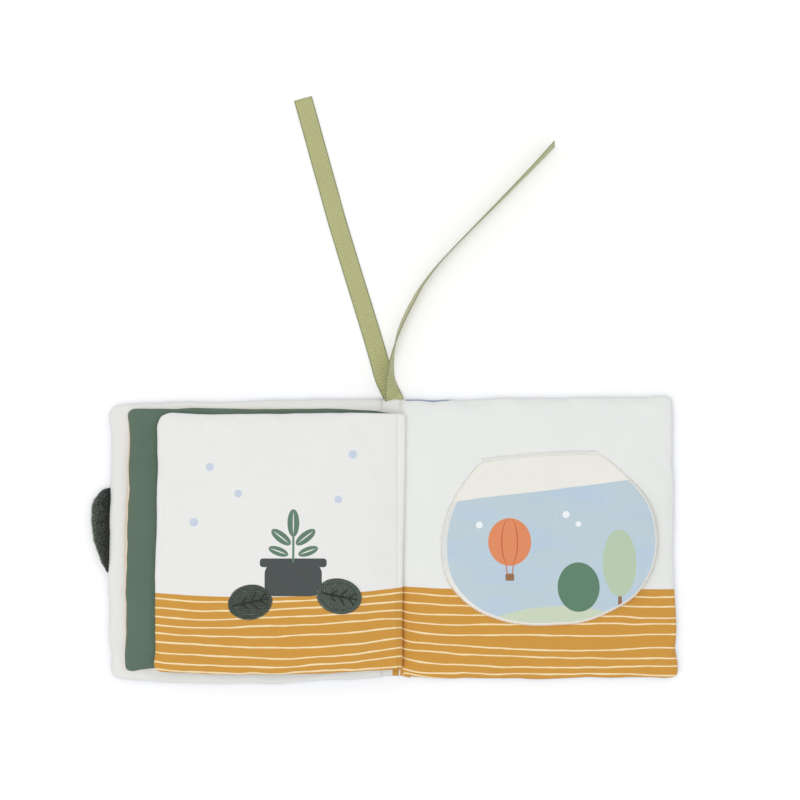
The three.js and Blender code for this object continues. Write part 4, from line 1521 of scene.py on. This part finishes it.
def hingeSeam():
    # the raw edge of the flap behind its hinge, caught down by a zigzag and a little frayed
    rng = random.Random(hinge["seed"])
    start, end = flapEdge(0.0), flapEdge(1.0)
    ahead = end - start
    length = np.linalg.norm(ahead)
    ahead /= length
    back = np.array([-ahead[1], ahead[0]])

    def behind(t, away, height):
        p = start + ahead * length * t + back * (away + flapArch(t))
        return p[0], p[1], hinge["pageTop"] + height

    runs = []
    steps = int(length / hinge["pitch"])
    span = 1 - 2 * hinge["ends"]
    for i in range(steps):
        places = [(hinge["ends"] + span * (i + k) / steps, a, b) for k, a, b in hinge["zigzag"]]
        runs.append([behind(*p) for p in places])
    zigzag = threadMesh("flap_hinge_stitches", runs, hinge["radius"], seamThread)
    fibres = []
    curl, lean = hinge["curl"], hinge["lean"]
    lowest = hinge["fibreHeight"][0]
    for _ in range(hinge["fibres"]):
        t, away = rng.uniform(*hinge["fibreShare"]), rng.uniform(*hinge["fibreAt"])
        reach, aside = rng.uniform(*hinge["fibreReach"]), rng.uniform(-lean, lean) / length
        height = rng.uniform(*hinge["fibreHeight"])
        bend = t + aside / 2 + rng.uniform(-curl, curl) / length
        bendHeight = height + rng.uniform(0, hinge["rise"])
        tipHeight = max(lowest, height - rng.uniform(0, hinge["drop"]))
        fibres.append([
            behind(t, away, height),
            behind(bend, away + reach / 2, bendHeight),
            behind(t + aside, away + reach, tipHeight),
        ])
    fray = threadMesh("flap_hinge_fray", fibres, hinge["fibreRadius"], whiteThread, sides=4, pointed=True)

    def allowance(u, v):
        t = (hinge["stripEnds"] + (length - 2 * hinge["stripEnds"]) * u) / length
        x, y, _ = behind(t, 0, 0)
        away = hinge["stripFrom"] + hinge["stripWidth"] * v + ruffle(x, y, hinge["ragged"]) * v
        height = hinge["stripHeight"] - hinge["stripFall"] * v + ruffle(x, y + 2 * v, hinge["uneven"])
        return behind(t, away, height)

    thickness = hinge["stripThickness"]
    strip = sheetPiece("flap_hinge_allowance", *hinge["cells"], allowance, thickness, allowanceCloth)
    return zigzag, fray, strip


zigzag, fray, strip = hingeSeam()
for piece in (zigzag, fray, strip):
    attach(piece, "back_cover")
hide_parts("flap_hinge_seam")
print("flap sewn on")

# ---- plush patches: oval leaves of the plant
patches = {
    "left": {"x": -74.5, "y": -32.8, "turn": 11.0, "ribs": ("y", 1.15), "ink": (68, 79, 69)},
    "right": {"x": -28.1, "y": -29.6, "turn": -11.0, "ribs": ("x", 1.15), "ink": (80, 93, 83)},
}
patchLook = {
    "length": 24.2, "width": 18.4, "height": 1.7, "domePower": 4, "base": 18.85, "skirt": 0.35,
    "groove": 0.76, "grooveDepth": 0.6, "grooveWidth": 0.05, "unevenness": (0.08, 2.2, 81.0),
    "shares": [0.12, 0.25, 0.38, 0.5, 0.6, 0.67, 0.71, 0.74, 0.77, 0.81, 0.87, 0.92, 0.96, 0.985, 1.0],
    "steps": 72, "tuft": 0.9, "bump": 0.25, "contrast": 2.4, "fill": 0.3,
    "veinInk": (34, 40, 36), "veinRoughness": 0.45, "stitchInk": (62, 76, 68), "stitchRadius": 0.17,
    # share of a dash, and its height
    "dashes": 44, "dashShare": 0.72, "dash": [(0, 0.0), (0.25, 0.22), (0.75, 0.22), (1, 0.0)],
    "rimSteps": 90, "rimShare": 0.985, "rimLift": 0.12,
    # the veins in satin stitch: ends and half width, and where the side veins leave the long one
    "longVein": ((-9.2, 0.0), (9.8, 0.0), 0.62), "sideVeins": (-4.6, 0.4, 5.0), "sideHalfWidth": 0.42,
    "sideOut": (3.6, 4.4), "sideShorter": 16, "strandPitch": 0.24, "strandRadius": 0.15,
    # share of the half width, and height
    "strand": [(-1, 0.02), (-0.4, 0.3), (0.4, 0.3), (1, 0.02)],
    # a vein is narrow at its ends: least share of its width, and the part of a bow that it follows
    "veinLeast": 0.35, "veinBow": (0.12, 0.8),
}
veinThread = threadMaterial("vein thread", patchLook["veinInk"], patchLook["veinRoughness"])
patchThread = threadMaterial("patch thread", patchLook["stitchInk"])


def patchHeight(share):
    dome = math.sqrt(max(0.0, 1 - share ** patchLook["domePower"]))
    fromGroove = (share - patchLook["groove"]) / patchLook["grooveWidth"]
    return patchLook["height"] * dome - patchLook["grooveDepth"] * math.exp(-(fromGroove**2))


def plushPatch(side, patch):
    turn = math.radians(patch["turn"])
    a, b = patchLook["length"] / 2, patchLook["width"] / 2
    steps, shares = patchLook["steps"], patchLook["shares"]

    def toPage(angle, share, lift=0.0):
        px, py = a * share * math.cos(angle), b * share * math.sin(angle)
        x = patch["x"] + px * math.cos(turn) - py * math.sin(turn)
        y = patch["y"] + px * math.sin(turn) + py * math.cos(turn)
        return x, y, patchLook["base"] + patchHeight(share) + lift

    points = []
    for share in shares:
        for i in range(steps):
            x, y, z = toPage(2 * math.pi * i / steps, share)
            points.append((x, y, z + ruffle(x, y, patchLook["unevenness"])))
    centre = len(points)
    points.append(toPage(0, 0))
    places = list(points)
    base = len(points)
    for i in range(steps):
        x, y, _ = toPage(2 * math.pi * i / steps, patchLook["rimShare"])
        points.append((x, y, patchLook["base"] - patchLook["skirt"]))
        places.append((x, y, 0))
    faces = []
    for i in range(steps):
        k = (i + 1) % steps
        faces.append((centre, i, k))
        rings = [*range(0, len(shares) * steps, steps), base]
        for p, q in zip(rings, rings[1:]):
            faces.append((p + i, q + i, q + k, p + k))
    faces.append(tuple(base + i for i in reversed(range(steps))))
    cloth = plushMaterial(
        f"{side} patch velour", patch["ink"], patchLook["tuft"], patchLook["bump"],
        patchLook["contrast"], ribs=patch["ribs"],
    )
    body = addPiece(f"{side}_patch_cloth", points, faces, [cloth], places)

    runs = []
    dash = 2 * math.pi / patchLook["dashes"]
    for i in range(patchLook["dashes"]):
        angles = [(dash * (i + patchLook["dashShare"] * t), lift) for t, lift in patchLook["dash"]]
        runs.append([toPage(angle, patchLook["groove"], lift) for angle, lift in angles])
    rimAngles = [2 * math.pi * i / patchLook["rimSteps"] for i in range(patchLook["rimSteps"] + 1)]
    runs.append([toPage(angle, patchLook["rimShare"], patchLook["rimLift"]) for angle in rimAngles])
    outline = threadMesh(f"{side}_patch_stitching", runs, patchLook["stitchRadius"], patchThread)

    def onDome(px, py, lift):
        share = math.hypot(px / a, py / b)
        return toPage(math.atan2(py / b, px / a), min(share, 1.0), lift)

    strands = []
    least, (bowFrom, bowSpan) = patchLook["veinLeast"], patchLook["veinBow"]
    veins = [patchLook["longVein"]]
    for px in patchLook["sideVeins"]:
        out, aside = patchLook["sideOut"]
        aside *= 1 - abs(px) / patchLook["sideShorter"]
        for flip in (1, -1):
            veins.append(((px, 0.0), (px + out, flip * aside), patchLook["sideHalfWidth"]))
    for (x0, y0), (x1, y1), width in veins:
        length = math.hypot(x1 - x0, y1 - y0)
        nx, ny = -(y1 - y0) / length, (x1 - x0) / length
        count = int(length / patchLook["strandPitch"])
        for i in range(count + 1):
            t = i / count
            bow = math.sin(math.pi * (bowFrom + bowSpan * t))
            w = width * (least + (1 - least) * bow)
            cx, cy = x0 + (x1 - x0) * t, y0 + (y1 - y0) * t
            strands.append([onDome(cx + nx * w * s, cy + ny * w * s, z) for s, z in patchLook["strand"]])
    radius = patchLook["strandRadius"]
    embroidery = threadMesh(f"{side}_patch_veins", strands, radius, veinThread, sides=4)
    for piece in (body, outline, embroidery):
        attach(piece, "top_leaf")
    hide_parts(f"{side}_plush_patch")


for side, patch in patches.items():
    plushPatch(side, patch)
print("patches sewn on")

# ---- plush tab at the fore-edge of the front cover
tab = {
    "edge": -148.9, "reach": 11.4, "top": 28.3, "bottom": -19.0, "middle": 3.5, "rise": 2.7,
    # share of the way along, and of the reach
    "outline": [
        (0, 0), (0.047, 0.27), (0.14, 0.47), (0.3, 0.73), (0.407, 0.88), (0.548, 0.966), (0.632, 1),
        (0.757, 1), (0.805, 0.98), (0.865, 0.86), (0.938, 0.64), (0.979, 0.43), (0.993, 0.2), (1, 0),
    ],
    # pinched where it enters the seam, and full beyond it
    "pinch": 0.3, "pinchedTo": (0.1, 0.5), "endPower": 6, "outPower": 2.6,
    "cells": (44, 12), "lump": 0.25, "lumpSize": 4.0, "lumpOut": 8, "lumpSeed": 91.0, "lowest": 0.25,
    "fill": 0.6,
    "cloth": {"ink": (37, 46, 38), "tuft": 1.2, "bump": 0.4, "contrast": 3.4},
    # the pile strands are a lighter copy of the plush, as painted light caught on the pile
    "litPileTips": {"ink": (106, 115, 101), "tuft": 1.1, "bump": 0.1, "contrast": 3.0},
    # painted shade beside the cover's edge turning to painted light at the outer end, from and to along x
    "shadeToLight": (-149.5, -160.3),
    # the pile is short beside the seam, where the tab folds against the cover
    "seed": 77, "strands": 3400, "radius": 0.11, "pile": 1.15, "pileShare": (0.5, 1.0), "bareTo": 2.4,
    "shortest": 0.25, "shortTo": (3.2, 5.6), "atEnds": 0.1, "onTop": 0.75, "lean": 1.1, "spread": 0.7,
    "curl": 0.15, "sunk": 0.2, "lowestTip": 0.1,
}


def tabHalf(u, share):
    # half its thickness
    ends = math.sqrt(max(0.0, 1 - (2 * share - 1) ** tab["endPower"]))
    pinched = tab["pinch"] + (1 - tab["pinch"]) * stepUp(u, tab["pinchedTo"])
    return tab["rise"] * math.sqrt(max(0.0, 1 - u ** tab["outPower"])) * ends * pinched


def tabOut(share):
    return along(tab["outline"], share) * tab["reach"]


def tabPlace(share):
    return tab["bottom"] + (tab["top"] - tab["bottom"]) * share


def tabBody():
    rows, outs = tab["cells"]
    points, faces, grid = [], [], {}
    for side in (1, -1):
        for j in range(rows + 1):
            share = 0.5 - 0.5 * math.cos(math.pi * j / rows)
            y = tabPlace(share)
            for i in range(outs + 1):
                u = math.sin(math.pi / 2 * i / outs)
                if side < 0 and (i == outs or j in (0, rows)):
                    grid[side, i, j] = grid[1, i, j]
                    continue
                lump = tab["lump"] * wave(y, u * tab["lumpOut"], tab["lumpSize"], tab["lumpSeed"] + side)
                half = tabHalf(u, share)
                z = tab["middle"] + side * (half + lump * min(half, 1.0))
                points.append((tab["edge"] - tabOut(share) * u, y, max(z, tab["lowest"])))
                grid[side, i, j] = len(points) - 1

    def addFace(corners, flipped=False):
        # places that fall together leave a triangle, or nothing
        face = tuple(dict.fromkeys(grid[corner] for corner in corners))
        if len(face) > 2:
            faces.append(tuple(reversed(face)) if flipped else face)

    for s in (1, -1):
        for j in range(rows):
            for i in range(outs):
                addFace([(s, i, j), (s, i, j + 1), (s, i + 1, j + 1), (s, i + 1, j)], flipped=s < 0)
    for j in range(rows):
        addFace([(1, 0, j), (-1, 0, j), (-1, 0, j + 1), (1, 0, j + 1)])
    plush = plushMaterial("tab plush", shadeToLight=tab["shadeToLight"], **tab["cloth"])
    body = addPiece("tab_cloth", points, faces, [plush])
    body.data.validate()
    smoothSurface(body)
    return body


def tabPile():
    # short pile over both sides
    rng = random.Random(tab["seed"])
    tufts = []
    for _ in range(tab["strands"]):
        share, u = rng.random(), math.sqrt(rng.random())
        out = tabOut(share)
        if rng.random() > out / tab["reach"] + tab["atEnds"] or out * u < tab["bareTo"]:
            continue
        side = 1 if rng.random() < tab["onTop"] else -1
        root = np.array([tab["edge"] - out * u, tabPlace(share), tab["middle"] + side * tabHalf(u, share)])
        stray = np.array([rng.uniform(-tab["spread"], tab["spread"]) for _ in range(3)])
        normal = np.array([-(u**3) * tab["lean"], 0.0, side]) + stray
        normal /= np.linalg.norm(normal)
        beside = tab["shortest"] + (1 - tab["shortest"]) * stepUp(out * u, tab["shortTo"])
        tip = root + normal * tab["pile"] * beside * rng.uniform(*tab["pileShare"])
        if tip[2] < tab["lowestTip"]:
            continue
        curl = np.array([rng.uniform(-tab["curl"], tab["curl"]) for _ in range(3)])
        tufts.append([root - normal * tab["sunk"], (root + tip) / 2 + curl, tip])
    # painted light: the strands are lighter than the body of the tab
    litPileTips = plushMaterial("tab pile", shadeToLight=tab["shadeToLight"], **tab["litPileTips"])
    return threadMesh("tab_pile", tufts, tab["radius"], litPileTips, sides=3, pointed=True)


tabCloth = tabBody()
for piece in (tabCloth, tabPile()):
    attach(piece, "tab")
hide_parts("tab_upper_skin", "tab_lower_skin", "tab_stuffing")
print("tab sewn in")

# ---- bar tacks that hold the spine, seen past both ends of the leaves
tack = {
    "pitch": 0.34, "slant": 0.2, "radius": 0.17,
    # from and to along y, and from and to along x
    "foot": (-71.1, -67.9, 3.3, 4.2), "head": (68.0, 74.3, 3.9, 5.2),
    # share of the way across, and height
    "across": [(0.0, 0.02), (0.2, 0.22), (0.5, 0.22), (0.8, 0.22), (1.0, 0.02)],
}


def barTack(name, low, high, left, right):
    runs = []
    steps = int((high - low) / tack["pitch"])
    foot, head = spine["ends"]
    for i in range(steps):
        y = low + (high - low) * i / steps
        run = []
        for t, lift in tack["across"]:
            x = left + (right - left) * t
            u = (x - spine["left"]) / (spine["right"] - spine["left"])
            z = gutterTop(u, (y - foot) / (head - foot))[2]
            run.append((x, y + tack["slant"] * t, z + lift))
        runs.append(run)
    piece = threadMesh(name, runs, tack["radius"], whiteThread)
    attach(piece, "back_cover")


for end in ("foot", "head"):
    barTack(f"{end}_bar_tack", *tack[end])
